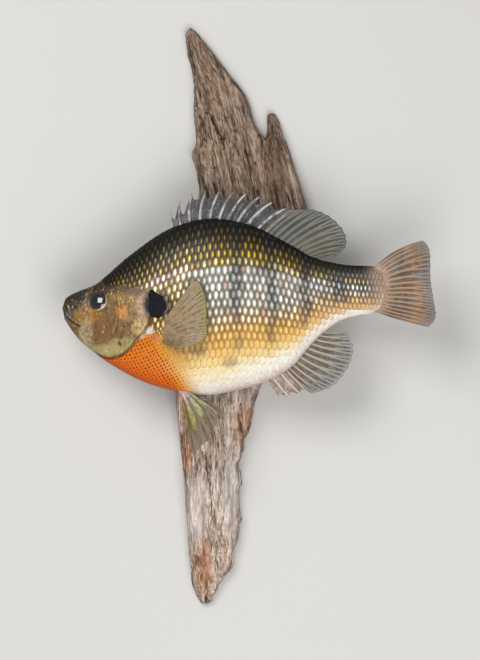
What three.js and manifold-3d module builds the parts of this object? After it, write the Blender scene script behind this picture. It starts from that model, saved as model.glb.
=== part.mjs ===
// A bluegill sunfish, skin-mounted and screwed to a splinter of driftwood that hangs on a wall.
// Millimetres, +Z up. +X runs from the snout towards the tail, and the room is on the -Y side.
// The sawn back of the wood is the plane y = 0. The origin lies on it, behind the middle of the fish.
import * as THREE from "three";
import { mergeVertices } from "three/addons/utils/BufferGeometryUtils.js";
import Module from "manifold-3d";

const wasm = await Module();
wasm.setup();

// ---------------------------------------------------------------- driving dimensions

const GAP = 0.3; // clearance between neighbouring pieces
const FACET_TOLERANCE = 0.03; // facets that stand out less than this are merged into their neighbours
const SEAT_Y = -23.5; // front of the flat seat on the wood that carries the fish
const MID_Y = -42.5; // middle plane of the fish where it is screwed on
const SNOUT_X = -115.6;
const BODY_END_X = 116; // rear edge of the scaly base of the tail fin

// The middle plane bends: the snout turns a little to the wall, the tail sweeps out into the room.
const HEAD_BEND = { startX: -20, reach: 95, out: -4 };
const TAIL_BEND = { startX: 15, reach: 135, out: 28 };

// Outline of the body and its section: [x, value] along the fish.
const BACK = [
  [-115.6, 3.4], [-112.8, 8.8], [-103, 14], [-90.9, 19.2], [-70.1, 37.2], [-46.2, 54.6], [-25.3, 63.2],
  [-6, 65.3], [19.5, 60.4], [49.4, 45.3], [62, 38.2], [85.2, 32.7], [107, 31.2], [116, 27.5],
];
const BELLY = [
  [-115.6, -1], [-113.6, -7.4], [-104.4, -20.4], [-94.4, -29.1], [-83.1, -37.6], [-60.4, -50.4],
  [-37.6, -57.8], [-15, -61], [7.6, -57.8], [31.5, -50.6], [49.4, -39.6], [61.4, -25.4], [76, -12.1],
  [88, -6.2], [107, -2.6], [116, 2],
];
const HALF_WIDTH = [
  [-115.6, 2.4], [-112, 4.8], [-104, 8], [-94, 11], [-72, 16.8], [-50, 19.6], [-15, 20.5], [15, 18.8],
  [40, 15], [62, 11], [85, 7.6], [107, 4.8], [116, 1.4],
];
const WIDEST_Z = [[-115.6, 1], [-95, -2], [-72, -4], [-45, 1], [-10, 5], [40, 6], [70, 11], [116, 14.5]];
const BACK_ROUNDNESS = 1.05; // 1 is an ellipse, more is leaner
const BELLY_ROUNDNESS = 0.85; // less than 1 is fuller

const EYE = { x: -90.3, z: 6.6, radius: 7.6, depth: 4.2, sunk: 2 };
const PLATE = { proud: 0.8, depth: 2.2 }; // how gill covers and jaw bones stand on the head
const FLAP = { lift: 0.35, proud: 1.5 }; // the soft ear flap lies on the flank, in front of the shoulder

const SCREW = {
  shank: 2,
  head: 4.4,
  headHeight: 3,
  headY: -1,
  tipY: -37,
  bore: 2.35,
  counterbore: 4.8,
  slot: { width: 1, length: 5, depth: 1.5 },
};
const SCREW_PLACES = { mounting_screw_upper: [-13, 15], mounting_screw_lower: [7, -13] };

// ---------------------------------------------------------------- numbers to shapes

// A smooth function through [x, value] stations.
function stations(points) {
  const slope = points.map((_, i) => {
    const a = points[Math.max(i - 1, 0)];
    const b = points[Math.min(i + 1, points.length - 1)];
    return (b[1] - a[1]) / (b[0] - a[0]);
  });
  return (x) => {
    const at = THREE.MathUtils.clamp(x, points[0][0], points.at(-1)[0]);
    let i = 0;
    while (i < points.length - 2 && points[i + 1][0] < at) {
      i += 1;
    }
    const span = points[i + 1][0] - points[i][0];
    const t = (at - points[i][0]) / span;
    const s = 1 - t;
    const ends = points[i][1] * s * s * (1 + 2 * t) + points[i + 1][1] * t * t * (3 - 2 * t);
    return ends + span * t * s * (slope[i] * s - slope[i + 1] * t);
  };
}

// A closed mesh as a solid that can be cut and joined, turned so that its faces point outwards.
function solid(geometry) {
  const bare = new THREE.BufferGeometry().setAttribute("position", geometry.getAttribute("position"));
  bare.setIndex(geometry.index);
  const merged = mergeVertices(bare, 1e-4);
  const vertProperties = merged.attributes.position.array;
  const triVerts = new Uint32Array(merged.index.array);
  const made = new wasm.Manifold(new wasm.Mesh({ numProp: 3, vertProperties, triVerts }));
  if (made.volume() > 0) {
    return made;
  }
  return new wasm.Manifold(new wasm.Mesh({ numProp: 3, vertProperties, triVerts: triVerts.reverse() }));
}

// Points and triangles as a solid.
function meshSolid(points, faces) {
  const geometry = new THREE.BufferGeometry().setFromPoints(points);
  geometry.setIndex(faces);
  return solid(geometry);
}

// A solid back to a mesh geometry.
function geometryOf(piece) {
  const mesh = piece.getMesh();
  const geometry = new THREE.BufferGeometry();
  geometry.setAttribute("position", new THREE.BufferAttribute(mesh.vertProperties, 3));
  geometry.setIndex(new THREE.BufferAttribute(mesh.triVerts, 1));
  geometry.computeVertexNormals();
  return geometry;
}

// A closed skin over rings of points, each ring with the same count, capped at both ends.
function loft(rings) {
  const count = rings[0].length;
  const faces = [];
  for (let r = 0; r < rings.length - 1; r += 1) {
    for (let k = 0; k < count; k += 1) {
      const a = r * count + k;
      const b = r * count + ((k + 1) % count);
      faces.push(a, b, a + count, b, b + count, a + count);
    }
  }
  const last = (rings.length - 1) * count;
  for (let k = 1; k < count - 1; k += 1) {
    faces.push(0, k + 1, k);
    faces.push(last, last + k, last + k + 1);
  }
  return meshSolid(rings.flat(), faces);
}

// An upright outline of [x, z] points, filled from y0 to y1.
function prism(outline, y0, y1) {
  const shape = new THREE.Shape(outline.map(([x, z]) => new THREE.Vector2(x, z)));
  const geometry = new THREE.ExtrudeGeometry(shape, { depth: y1 - y0, bevelEnabled: false });
  geometry.rotateX(Math.PI / 2);
  geometry.translate(0, y1, 0);
  return solid(geometry);
}

// The [x, z] outline moved outwards by a distance.
function grow(outline, distance) {
  const turn = THREE.ShapeUtils.area(outline.map(([x, z]) => new THREE.Vector2(x, z))) > 0 ? 1 : -1;
  return outline.map(([x, z], i) => {
    const [px, pz] = outline.at(i - 1);
    const [nx, nz] = outline[(i + 1) % outline.length];
    const along = new THREE.Vector2(nx - px, nz - pz).normalize();
    return [x + turn * distance * along.y, z - turn * distance * along.x];
  });
}

// A round loop through a few [x, z] points.
function roundLoop(points, count) {
  const places = points.map(([x, z]) => new THREE.Vector3(x, 0, z));
  const curve = new THREE.CatmullRomCurve3(places, true, "centripetal");
  return curve.getPoints(count).slice(0, -1).map((p) => [p.x, p.z]);
}

// A thin upright wall along an [x, z] line, which parts whatever it is taken from.
function seam(line, width) {
  const sides = [width / 2, -width / 2].map((offset) =>
    line.map(([x, z], i) => {
      const a = line[Math.max(i - 1, 0)];
      const b = line[Math.min(i + 1, line.length - 1)];
      const along = new THREE.Vector2(b[0] - a[0], b[1] - a[1]).normalize();
      return [x + offset * along.y, z - offset * along.x];
    }),
  );
  return prism([...sides[0], ...sides[1].reverse()], -110, 10);
}

// ---------------------------------------------------------------- the body of the fish

const back = stations(BACK);
const belly = stations(BELLY);
const halfWidth = stations(HALF_WIDTH);
const widestZ = stations(WIDEST_Z);

function midline(x) {
  const head = Math.max(0, (HEAD_BEND.startX - x) / HEAD_BEND.reach);
  const tail = Math.max(0, (x - TAIL_BEND.startX) / TAIL_BEND.reach);
  return MID_Y - HEAD_BEND.out * head ** 2 - TAIL_BEND.out * tail ** 2;
}

// Height and half width of the body's section at x, at an angle round it, grown by a distance.
function sectionPoint(x, angle, grown = 0) {
  const up = Math.sin(angle);
  const across = Math.cos(angle);
  const middle = widestZ(x);
  const reach = up > 0 ? back(x) - middle : middle - belly(x);
  const roundness = up > 0 ? BACK_ROUNDNESS : BELLY_ROUNDNESS;
  const side = Math.sign(across) * Math.abs(across) ** roundness;
  const width = Math.max(halfWidth(x) + grown, 0.4);
  return new THREE.Vector3(x, midline(x) - width * side, middle + (reach + grown) * up);
}

// y of the skin at a place on one side: -1 is the fish's left, towards the room, and 1 its right.
function skinY(x, z, side) {
  const middle = widestZ(x);
  const reach = z > middle ? back(x) - middle : middle - belly(x);
  const up = THREE.MathUtils.clamp((z - middle) / reach, -1, 1);
  const roundness = up > 0 ? BACK_ROUNDNESS : BELLY_ROUNDNESS;
  return midline(x) + side * halfWidth(x) * Math.sqrt(1 - up * up) ** roundness;
}

// The way the skin faces at a place on one side.
function skinNormal(x, z, side) {
  const step = 0.5;
  const alongX = (skinY(x + step, z, side) - skinY(x - step, z, side)) / (2 * step);
  const alongZ = (skinY(x, z + step, side) - skinY(x, z - step, side)) / (2 * step);
  return new THREE.Vector3(-alongX, 1, -alongZ).multiplyScalar(side).normalize();
}

// The whole body from snout to tail base, grown or shrunk by a distance.
function bodySolid(grown = 0) {
  const steps = 24;
  const around = 24;
  const rings = [];
  for (let i = 0; i <= steps; i += 1) {
    const x = SNOUT_X + (BODY_END_X - SNOUT_X) * (i / steps) ** 1.35;
    const moved = x + (i === 0 ? -grown : 0) + (i === steps ? grown : 0);
    const ring = [];
    for (let k = 0; k < around; k += 1) {
      const p = sectionPoint(x, (2 * Math.PI * k) / around, grown);
      ring.push(new THREE.Vector3(moved, p.y, p.z));
    }
    rings.push(ring);
  }
  return loft(rings);
}

const wholeBody = bodySolid();
const clearBody = bodySolid(GAP);
const proudBody = bodySolid(PLATE.proud);
const plateFloor = bodySolid(-PLATE.depth);
const plateBed = bodySolid(-PLATE.depth - GAP);

// Both halves of the head, as slabs on either side of its middle plane at the throat.
const THROAT_X = -88;
const HALVES = { left: [-110, midline(THROAT_X) - 1.5], right: [midline(THROAT_X) + 1.5, 10] };

// A thin bone plate that stands proud of the head, and the bed that is cut for it.
function plateOn(outline, half) {
  const [y0, y1] = HALVES[half];
  return {
    plate: prism(outline, y0, y1).intersect(proudBody).subtract(plateFloor),
    bed: prism(grow(outline, GAP), y0, y1).subtract(plateBed),
  };
}

// ---- seams between head, jaws, trunk and tail, as [x, z] lines ----

const GILL_SEAM = [
  [-93, -46], [-90, -30], [-80, -29.5], [-70, -23], [-62, -8], [-61, 14], [-58, 38], [-55, 70],
];
const TAIL_SEAM = [[69, -40], [69, 60]];
const GAPE = [[-120, -0.6], [-114.4, -3.4], [-111.4, -6.6], [-107.6, -9.2], [-104, -10.6]];
const LIP_SEAM = [[-107.6, -9.2], [-108, -4], [-110, 1.5], [-112.4, 6], [-114, 14]];
const CHIN_SEAM = [[-104, -10.6], [-101.6, -15], [-99.4, -21], [-97.6, -26], [-98, -36]];

const GILL_COVER = roundLoop(
  [
    [-78, 14], [-76.3, 3.6], [-76, -9], [-79, -18.5], [-85, -24], [-90.5, -26.5], [-89.5, -30.6],
    [-83, -33.6], [-76, -32.6], [-69.5, -27.8], [-63.5, -20.5], [-58.2, -14.5], [-53.6, -5], [-52.4, 4],
    [-54.4, 13.4], [-61, 18.2], [-70, 18],
  ],
  30,
);
const EAR_FLAP = roundLoop(
  [[-51.6, 13], [-45.5, 9.6], [-39.4, 2.8], [-44.6, -2.4], [-50.8, -5.2], [-51.2, 4]],
  18,
);
const MAXILLA = roundLoop(
  [[-108.6, -1], [-106.2, 0.6], [-103.4, -5], [-102.4, -9.6], [-104.4, -11.6], [-106.8, -8.4]],
  14,
);

function eyeSolid(side, grown) {
  const normal = skinNormal(EYE.x, EYE.z, side);
  const ball = new THREE.SphereGeometry(1, 16, 9);
  ball.rotateX(Math.PI / 2);
  ball.scale(EYE.radius + grown, EYE.radius + grown, EYE.depth + grown);
  ball.applyQuaternion(new THREE.Quaternion().setFromUnitVectors(new THREE.Vector3(0, 0, 1), normal));
  const centre = new THREE.Vector3(EYE.x, skinY(EYE.x, EYE.z, side), EYE.z);
  centre.addScaledVector(normal, -EYE.sunk);
  ball.translate(centre.x, centre.y, centre.z);
  return solid(ball);
}

// ---------------------------------------------------------------- fins

const valueAt = (value, place) => (typeof value === "function" ? value(place) : value);

const WEB_THICKNESS = 0.6;

// A pleated fin: a thin web between stiff rays. Each ray is a row of points from root to tip.
// `notch` says how far the web's edge is cut in between two tips, as a part of the ray's length.
function finSolid(rays, rayThickness, notch) {
  const rows = rays[0].length;
  const columns = [];
  rays.forEach((ray, i) => {
    columns.push({ points: ray, thickness: rayThickness });
    if (i === rays.length - 1) {
      return;
    }
    const cut = valueAt(notch, i);
    const between = ray.map((_, r) => {
      const at = (r / (rows - 1)) * (1 - cut) * (rows - 1);
      const low = Math.min(Math.floor(at), rows - 2);
      const [a, b] = [ray, rays[i + 1]].map((line) => line[low].clone().lerp(line[low + 1], at - low));
      return a.lerp(b, 0.5);
    });
    columns.push({ points: between, thickness: WEB_THICKNESS });
  });
  const faceOf = (side) =>
    columns.flatMap(({ points, thickness }) =>
      points.map((p, r) => {
        const taper = THREE.MathUtils.lerp(thickness, WEB_THICKNESS, r / (rows - 1));
        return new THREE.Vector3(p.x, p.y + (side * taper) / 2, p.z);
      }),
    );
  const vertices = [...faceOf(-1), ...faceOf(1)];
  const far = columns.length * rows;
  const faces = [];
  const quad = (a, b, c, d) => faces.push(a, b, c, a, c, d);
  for (let c = 0; c < columns.length - 1; c += 1) {
    for (let r = 0; r < rows - 1; r += 1) {
      const a = c * rows + r;
      quad(a, a + rows, a + rows + 1, a + 1);
      quad(far + a, far + a + 1, far + a + rows + 1, far + a + rows);
    }
    const root = c * rows;
    const tip = root + rows - 1;
    quad(root, far + root, far + root + rows, root + rows);
    quad(tip, tip + rows, far + tip + rows, far + tip);
  }
  const end = (columns.length - 1) * rows;
  for (let r = 0; r < rows - 1; r += 1) {
    quad(r, r + 1, far + r + 1, far + r);
    quad(end + r, far + end + r, far + end + r + 1, end + r + 1);
  }
  return meshSolid(vertices, faces);
}

const RAY_POINTS = 3;

// Rays fanned between a root line and an edge line of [x, z] points, on a surface y = f(x, z, t).
// `bow` bends each ray backwards at its middle, in parts of its length.
function fan({ root, edge, count, bow, surface }) {
  const rootCurve = new THREE.SplineCurve(root.map(([x, z]) => new THREE.Vector2(x, z)));
  const edgeCurve = new THREE.SplineCurve(edge.map(([x, z]) => new THREE.Vector2(x, z)));
  const rays = [];
  for (let i = 0; i < count; i += 1) {
    const place = i / (count - 1);
    const from = rootCurve.getPoint(place);
    const to = edgeCurve.getPoint(place);
    const aside = new THREE.Vector2(from.y - to.y, to.x - from.x).multiplyScalar(valueAt(bow, place));
    const ray = [];
    for (let r = 0; r < RAY_POINTS; r += 1) {
      const t = r / (RAY_POINTS - 1);
      const p = from.clone().lerp(to, t).addScaledVector(aside, 4 * t * (1 - t));
      ray.push(new THREE.Vector3(p.x, surface(p.x, p.y, t), p.y));
    }
    rays.push(ray);
  }
  return rays;
}

const onMidline = (x) => midline(x);

// The back fin: ten stiff spines joined by a notched web, then soft rays in a rounded fan.
function spinyDorsal() {
  const rays = fan({
    root: [[-35.7, 57], [-21, 60], [-4, 61.5], [10, 59], [24.5, 54]],
    edge: [[-38.4, 72], [-27, 82], [-8, 85.2], [20, 82], [46.5, 71.6]],
    count: 10,
    bow: 0.05,
    surface: onMidline,
  });
  return finSolid(rays, 1.9, (i) => (i < 2 ? 0.62 : 0.26));
}

function softDorsal() {
  const rays = fan({
    root: [[27, 52.4], [40, 46], [51, 39.5], [60.5, 34.5]],
    edge: [[49.4, 71], [64, 71], [76, 65.4], [85, 55], [85.8, 45], [79.4, 38.4]],
    count: 12,
    bow: 0.05,
    surface: onMidline,
  });
  return finSolid(rays, 1.3, 0.012);
}

function analFin() {
  const spines = fan({
    root: [[29, -47], [33, -46], [38, -43]],
    edge: [[38.8, -62.8], [46.5, -62.6], [55, -60.6]],
    count: 3,
    bow: -0.03,
    surface: onMidline,
  });
  const soft = fan({
    root: [[41.5, -40], [50, -34], [58, -24], [65, -15.5]],
    edge: [[62.5, -59.4], [76.7, -54], [87.4, -41], [91.2, -27], [86.6, -16]],
    count: 11,
    bow: -0.04,
    surface: onMidline,
  });
  const rays = [...spines, ...soft];
  return finSolid(rays, 1.4, (i) => (i < 3 ? 0.2 : 0.015));
}

function caudalFin() {
  const rays = fan({
    root: [[104, 28.6], [110, 24], [112, 14.5], [110, 5], [104, -0.6]],
    edge: [[140.6, 49.2], [145.2, 42], [145.8, 22], [147.8, 8], [149.4, -5], [144.6, -12]],
    count: 17,
    bow: (t) => 0.08 - 0.1 * t,
    surface: onMidline,
  });
  return finSolid(rays, 1.3, 0.008);
}

// A paired fin stands off the body: the further from its root, the further from the skin.
function pairedFin({ root, edge, count, bow, side, flare, notch }) {
  const [rootX, rootZ] = root[Math.floor(root.length / 2)];
  const rootY = skinY(rootX, rootZ, side);
  const inner = 3; // the root starts inside the body and is cut back to the skin
  const surface = (x, z, t) => rootY + side * (flare * t * (1.6 - 0.6 * t) - inner * (1 - t) ** 3);
  const rays = fan({ root, edge, count, bow, surface });
  return finSolid(rays, 1.5, notch);
}

const LEFT_PECTORAL = {
  root: [[-46.5, -11.5], [-46, -17.5], [-45, -23.4]],
  edge: [[-22.4, 21], [-17.6, 20], [-13.2, 8], [-12.4, -8], [-12.8, -18.6], [-22, -24.6], [-34, -27]],
  count: 13,
  bow: 0,
  side: -1,
  flare: 9,
  notch: 0.01,
};
// The right pectoral is laid up along the flank, clear of the wood.
const RIGHT_PECTORAL = {
  ...LEFT_PECTORAL,
  edge: [[-34.4, 21.6], [-31.2, 19], [-30, 10], [-30.2, 0], [-31.6, -10], [-33.6, -19], [-37.6, -26]],
  side: 1,
  flare: 10.6,
};
const LEFT_PELVIC = {
  root: [[-33.2, -56], [-29.5, -57], [-25.4, -58]],
  edge: [[-32.4, -79], [-22, -102.4], [-12.4, -92], [-5.4, -80.6], [-5.4, -73], [-13, -67.6]],
  count: 6,
  bow: 0.03,
  side: -1,
  flare: 7,
  notch: 0.04,
};
const RIGHT_PELVIC = {
  ...LEFT_PELVIC,
  root: [[-28.6, -56.5], [-26, -57.4], [-22.8, -58]],
  edge: [[-19, -80], [-13, -94], [-8.4, -84], [-5.4, -74], [-5.6, -68.6], [-9.6, -65.6]],
  side: 1,
  flare: 4,
};

// ---------------------------------------------------------------- the driftwood

// Left edge, right edge and thickness of the main splinter, and of the short prong beside it.
const SPLINTER = {
  left: [
    [-210, -15.4], [-204, -20], [-195, -23.5], [-150, -27], [-112, -30.2], [-86, -32.8], [-60, -35],
    [0, -28], [84, -18.8], [104, -22], [112, -23.8], [117, -20.7], [132, -21.6], [166, -22.8],
    [182, -26.6], [197, -28], [201, -26.4],
  ],
  right: [
    [-210, -13.2], [-206, -9.6], [-193, -2.6], [-181, 6.2], [-175, 5.8], [-163, 9.9], [-140, 10.6],
    [-117, 12], [-110, 11], [-97, 14], [-71, 21.3], [-40, 22], [60, 30], [121, 29.4], [125, 26],
    [130, 22.4], [141, 18.6], [152, 15], [172, -0.4], [186, -10.4], [201, -23.4],
  ],
  depth: [
    [-210, 5], [-190, 10], [-140, 17], [-70, 22.5], [0, 24], [70, 22.5], [130, 17], [180, 11], [201, 5],
  ],
  phase: 0,
};
const PRONG = {
  left: [[-66, 12], [0, 10], [80, 20], [118, 26], [124.5, 29.4], [138, 30.2], [140.2, 31.6]],
  right: [
    [-66, 21.6], [-20, 36], [40, 55], [71, 58.2], [77, 57.2], [101, 49.6], [119, 43.2], [132, 38.8],
    [140.2, 35],
  ],
  depth: [[-66, 16], [0, 23], [71, 20], [110, 15], [140.2, 6]],
  phase: 2.1,
};
const RING_STEP = { least: 4, most: 20 }; // spacing of the wood's sections up its length

// Heights of the sections: one at each named place on the edges, and more where those lie far apart.
function ringHeights(places) {
  const named = places.map(([z]) => z).sort((a, b) => a - b);
  const top = named.at(-1);
  const heights = [named[0]];
  for (const z of named) {
    const from = heights.at(-1);
    if (z - from < RING_STEP.least || (z < top && top - z < RING_STEP.least)) {
      continue;
    }
    const parts = Math.ceil((z - from) / RING_STEP.most);
    for (let i = 1; i <= parts; i += 1) {
      heights.push(from + ((z - from) * i) / parts);
    }
  }
  return heights;
}

// A splinter of weathered wood: flat behind, ridged along the grain in front.
function splinterSolid({ left, right, depth, phase }) {
  const edges = [stations(left), stations(right), stations(depth)];
  // Places round the section: how far across, and how deep, from the left edge of the back.
  const profile = [
    [0.03, -0.2], [0, 0.35], [0.1, 0.74], [0.25, 0.95], [0.4, 0.84], [0.58, 1], [0.78, 0.84], [0.93, 0.74],
    [1, 0.3], [0.97, -0.2],
  ];
  const rings = ringHeights([...left, ...right]).map((z) => {
    const [x0, x1, thick] = edges.map((edge) => edge(z));
    return profile.map(([across, deep], k) => {
      const ridge = deep > 0.5 ? 1 + 0.09 * Math.sin(0.055 * z + 1.7 * k + phase) : 1;
      return new THREE.Vector3(x0 + (x1 - x0) * across, -thick * deep * ridge, z);
    });
  });
  return loft(rings);
}

// ---------------------------------------------------------------- the screws

// A turned solid whose axis runs along y through [x, z], from [radius, y] points in order of y.
function turned(points, [x, z]) {
  const geometry = new THREE.LatheGeometry(points.map(([radius, y]) => new THREE.Vector2(radius, y)), 16);
  geometry.translate(x, 0, z);
  return solid(geometry);
}

const SCREW_SEAT_Y = SCREW.headY - SCREW.headHeight;

function screwSolid(place) {
  const { shank, head, headY, tipY, slot } = SCREW;
  const body = turned(
    [
      [0, tipY], [shank, tipY + 4], [shank, SCREW_SEAT_Y], [head, SCREW_SEAT_Y], [head, headY - 0.8],
      [head - 1, headY], [0, headY],
    ],
    place,
  );
  const { width, length } = slot;
  const blade = [[-width, -length], [width, -length], [width, length], [-width, length]];
  const arms = [blade, blade.map(([x, z]) => [z, -x])].map((outline) =>
    prism(outline.map(([x, z]) => [x / 2 + place[0], z / 2 + place[1]]), headY - slot.depth, 1),
  );
  return body.subtract(arms[0]).subtract(arms[1]);
}

// The hole that a screw passes through, with its counterbore in the back of the wood.
function screwHole(place) {
  const { tipY, bore, counterbore } = SCREW;
  const floorY = SCREW_SEAT_Y - GAP;
  return turned(
    [[0, tipY - GAP], [bore, tipY - GAP], [bore, floorY], [counterbore, floorY], [counterbore, 5], [0, 5]],
    place,
  );
}

// ---------------------------------------------------------------- putting it together

const COLOURS = {
  skin: { color: 0x6e6448, roughness: 0.38, metalness: 0.1 },
  jaw: { color: 0xa59a86, roughness: 0.4, metalness: 0 },
  flap: { color: 0x10131c, roughness: 0.35, metalness: 0 },
  fin: { color: 0x75705f, roughness: 0.4, metalness: 0 },
  eye: { color: 0x0b0d12, roughness: 0.05, metalness: 0 },
  wood: { color: 0x5d4f46, roughness: 0.9, metalness: 0 },
  steel: { color: 0x9a9a98, roughness: 0.35, metalness: 1 },
};

const trophy = new THREE.Group();
trophy.name = "mounted_bluegill";

// The largest body of a cut solid, without the crumbs and hair-thin facets that are left along its edges.
function largest(piece) {
  const bodies = piece.simplify(FACET_TOLERANCE).decompose();
  return bodies.reduce((best, body) => (body.volume() > best.volume() ? body : best));
}

function add(name, finish, piece) {
  const material = new THREE.MeshStandardMaterial({ ...COLOURS[finish], flatShading: true });
  const mesh = new THREE.Mesh(geometryOf(largest(piece)), material);
  mesh.name = name;
  trophy.add(mesh);
}

// The flesh, with beds for the plates, sockets for the eyes and thin seams between its parts.
const plates = {};
for (const half of ["left", "right"]) {
  plates[`gill_cover_${half}`] = plateOn(GILL_COVER, half);
  plates[`maxilla_${half}`] = plateOn(MAXILLA, half);
}
const SIDE = { left: -1, right: 1 };
const cutters = [
  ...Object.values(plates).map(({ bed }) => bed),
  ...Object.values(SIDE).map((side) => eyeSolid(side, GAP)),
  ...[GILL_SEAM, TAIL_SEAM, GAPE, LIP_SEAM, CHIN_SEAM].map((line) => seam(line, GAP)),
];
const flesh = cutters.reduce((left, cutter) => left.subtract(cutter), wholeBody);

// Outlines that pick each part out of the flesh: they run along the seams and close far outside.
const FAR = 140;
const column = (outline) => prism(outline, -FAR, FAR);
const headRegion = column([...GILL_SEAM, [-FAR, 70], [-FAR, -46]]);
const lowerJawRegion = column([...GAPE, ...CHIN_SEAM.slice(1), [-FAR, -36], [-FAR, -0.6]]);
const upperJawRegion = column([...GAPE.slice(0, 4), ...LIP_SEAM.slice(1), [-FAR, 14], [-FAR, -0.6]]);
const trunkRegion = column([...GILL_SEAM, [69, 70], [69, -FAR], [-93, -FAR]]);
const tailRegion = column([[69, -FAR], [FAR, -FAR], [FAR, FAR], [69, FAR]]);
const square = [[-FAR, -FAR], [FAR, -FAR], [FAR, FAR], [-FAR, FAR]];
const behindSeat = column(square).translate(0, FAR + SEAT_Y - GAP, 0);

const holes = Object.values(SCREW_PLACES).map(screwHole);

add("head", "skin", flesh.intersect(headRegion).subtract(lowerJawRegion).subtract(upperJawRegion));
add("upper_jaw", "jaw", flesh.intersect(upperJawRegion));
add("lower_jaw", "jaw", flesh.intersect(lowerJawRegion));
add("trunk", "skin", flesh.intersect(trunkRegion).subtract(behindSeat).subtract(holes[0]).subtract(holes[1]));
add("tail_peduncle", "skin", flesh.intersect(tailRegion));
for (const [name, { plate }] of Object.entries(plates)) {
  add(name, name.startsWith("maxilla") ? "jaw" : "skin", plate);
}

const liftedBody = bodySolid(FLAP.lift);
const flapBody = bodySolid(FLAP.proud);
for (const [half, side] of Object.entries(SIDE)) {
  add(`eye_${half}`, "eye", eyeSolid(side, 0));
  add(`ear_flap_${half}`, "flap", prism(EAR_FLAP, ...HALVES[half]).intersect(flapBody).subtract(liftedBody));
}

const fins = {
  dorsal_fin_spiny: spinyDorsal(),
  dorsal_fin_soft: softDorsal(),
  anal_fin: analFin(),
  caudal_fin: caudalFin(),
  pectoral_fin_left: pairedFin(LEFT_PECTORAL),
  pectoral_fin_right: pairedFin(RIGHT_PECTORAL),
  pelvic_fin_left: pairedFin(LEFT_PELVIC),
  pelvic_fin_right: pairedFin(RIGHT_PELVIC),
};
for (const [name, fin] of Object.entries(fins)) {
  add(name, "fin", fin.subtract(clearBody));
}

const seatCutter = prism([[-60, -46], [80, -46], [80, 44], [-60, 44]], -60, SEAT_Y);
const inTheWall = column([[-FAR, -240], [FAR, -240], [FAR, 240], [-FAR, 240]]).translate(0, FAR, 0);
const driftwood = splinterSolid(SPLINTER).add(splinterSolid(PRONG)).subtract(inTheWall).subtract(seatCutter);
add("driftwood_panel", "wood", driftwood.subtract(holes[0]).subtract(holes[1]));
for (const [name, place] of Object.entries(SCREW_PLACES)) {
  add(name, "steel", screwSolid(place));
}

export default trophy;
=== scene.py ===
# A bluegill sunfish, skin-mounted in a swimming bend and screwed to a splinter of driftwood.
# Sizes are in millimetres, as the mount is measured, and MM turns them into metres.
# +X runs from snout to tail, +Z is up, and the fish shows its left side to the room, on -Y.
import math

import bmesh
import bpy
import numpy as np
from mathutils import Matrix, Vector, noise


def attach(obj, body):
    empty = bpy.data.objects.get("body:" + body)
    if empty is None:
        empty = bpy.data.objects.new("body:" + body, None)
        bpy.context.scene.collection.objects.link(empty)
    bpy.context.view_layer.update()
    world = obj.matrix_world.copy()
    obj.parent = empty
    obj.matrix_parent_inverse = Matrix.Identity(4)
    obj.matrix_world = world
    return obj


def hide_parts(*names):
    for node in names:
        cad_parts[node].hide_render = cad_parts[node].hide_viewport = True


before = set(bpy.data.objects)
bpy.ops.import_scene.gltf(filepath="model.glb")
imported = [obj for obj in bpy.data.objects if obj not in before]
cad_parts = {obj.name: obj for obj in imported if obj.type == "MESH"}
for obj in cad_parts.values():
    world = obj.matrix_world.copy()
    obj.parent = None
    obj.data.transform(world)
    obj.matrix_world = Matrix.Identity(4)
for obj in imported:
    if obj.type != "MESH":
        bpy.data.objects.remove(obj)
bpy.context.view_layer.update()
MM = 0.001

# ---------------------------------------------------------------- wall, floor, light and camera
# A plain studio corner: a pale wall that the mount hangs on, a pale floor under it, a large soft
# light from the upper left, a weaker one from the right, and one that lights the back.

VIEW_CENTRE = (10.65, -14.2)
VIEW_HEIGHT = 468.6
VIEW_DISTANCE = 12000
FISH_PLANE_Y = -42.5
LONG_SIDE_SENSOR = 36
FLOOR_Z = -262
STUDIO_REACH, FLOOR_REACH, WALL_Y = 3000, 4000, 1


def paint(red, green, blue):
    """A colour, from 0 to 255 a part, as the light that it sends back."""
    parts = [c / 255 for c in (red, green, blue)]
    return tuple(c / 12.92 if c <= 0.04045 else ((c + 0.055) / 1.055) ** 2.4 for c in parts) + (1.0,)


def connect(made, inputs):
    """Links a node's inputs to other nodes, or sets them to a number, a place or a colour."""
    for key, value in inputs.items():
        socket, value = made.inputs[key], getattr(value, "socket", value)
        if isinstance(value, bpy.types.NodeSocket):
            socket.id_data.links.new(value, socket)
        else:
            socket.default_value = paint(*value) if socket.type == "RGBA" else value


def node(tree, kind, inputs, **settings):
    """Adds a shader node, sets its properties and then its inputs."""
    made = tree.nodes.new(kind)
    for key, value in settings.items():
        setattr(made, key, value)
    connect(made, inputs)
    return made


def material(name, **constants):
    """A new material with one Principled shader, whose even values are set on its own sockets."""
    made = bpy.data.materials.new(name)
    made.use_nodes = True
    shader = made.node_tree.nodes["Principled BSDF"]
    connect(shader, {key.replace("_", " "): value for key, value in constants.items()})
    return made, made.node_tree, shader


def mesh_of(bm, name):
    """The mesh of a finished bmesh."""
    mesh = bpy.data.meshes.new(name)
    bm.to_mesh(mesh)
    bm.free()
    return mesh


def shown(name, data):
    """A new object in the scene."""
    made = bpy.data.objects.new(name, data)
    bpy.context.scene.collection.objects.link(made)
    return made


def studio_surface(name, corners):
    bm = bmesh.new()
    bm.faces.new([bm.verts.new(Vector(corner) * MM) for corner in corners])
    made = shown(name, mesh_of(bm, name))
    made.visible_shadow = made.visible_diffuse = made.visible_glossy = False
    made.data.materials.append(studio_paint)


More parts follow.
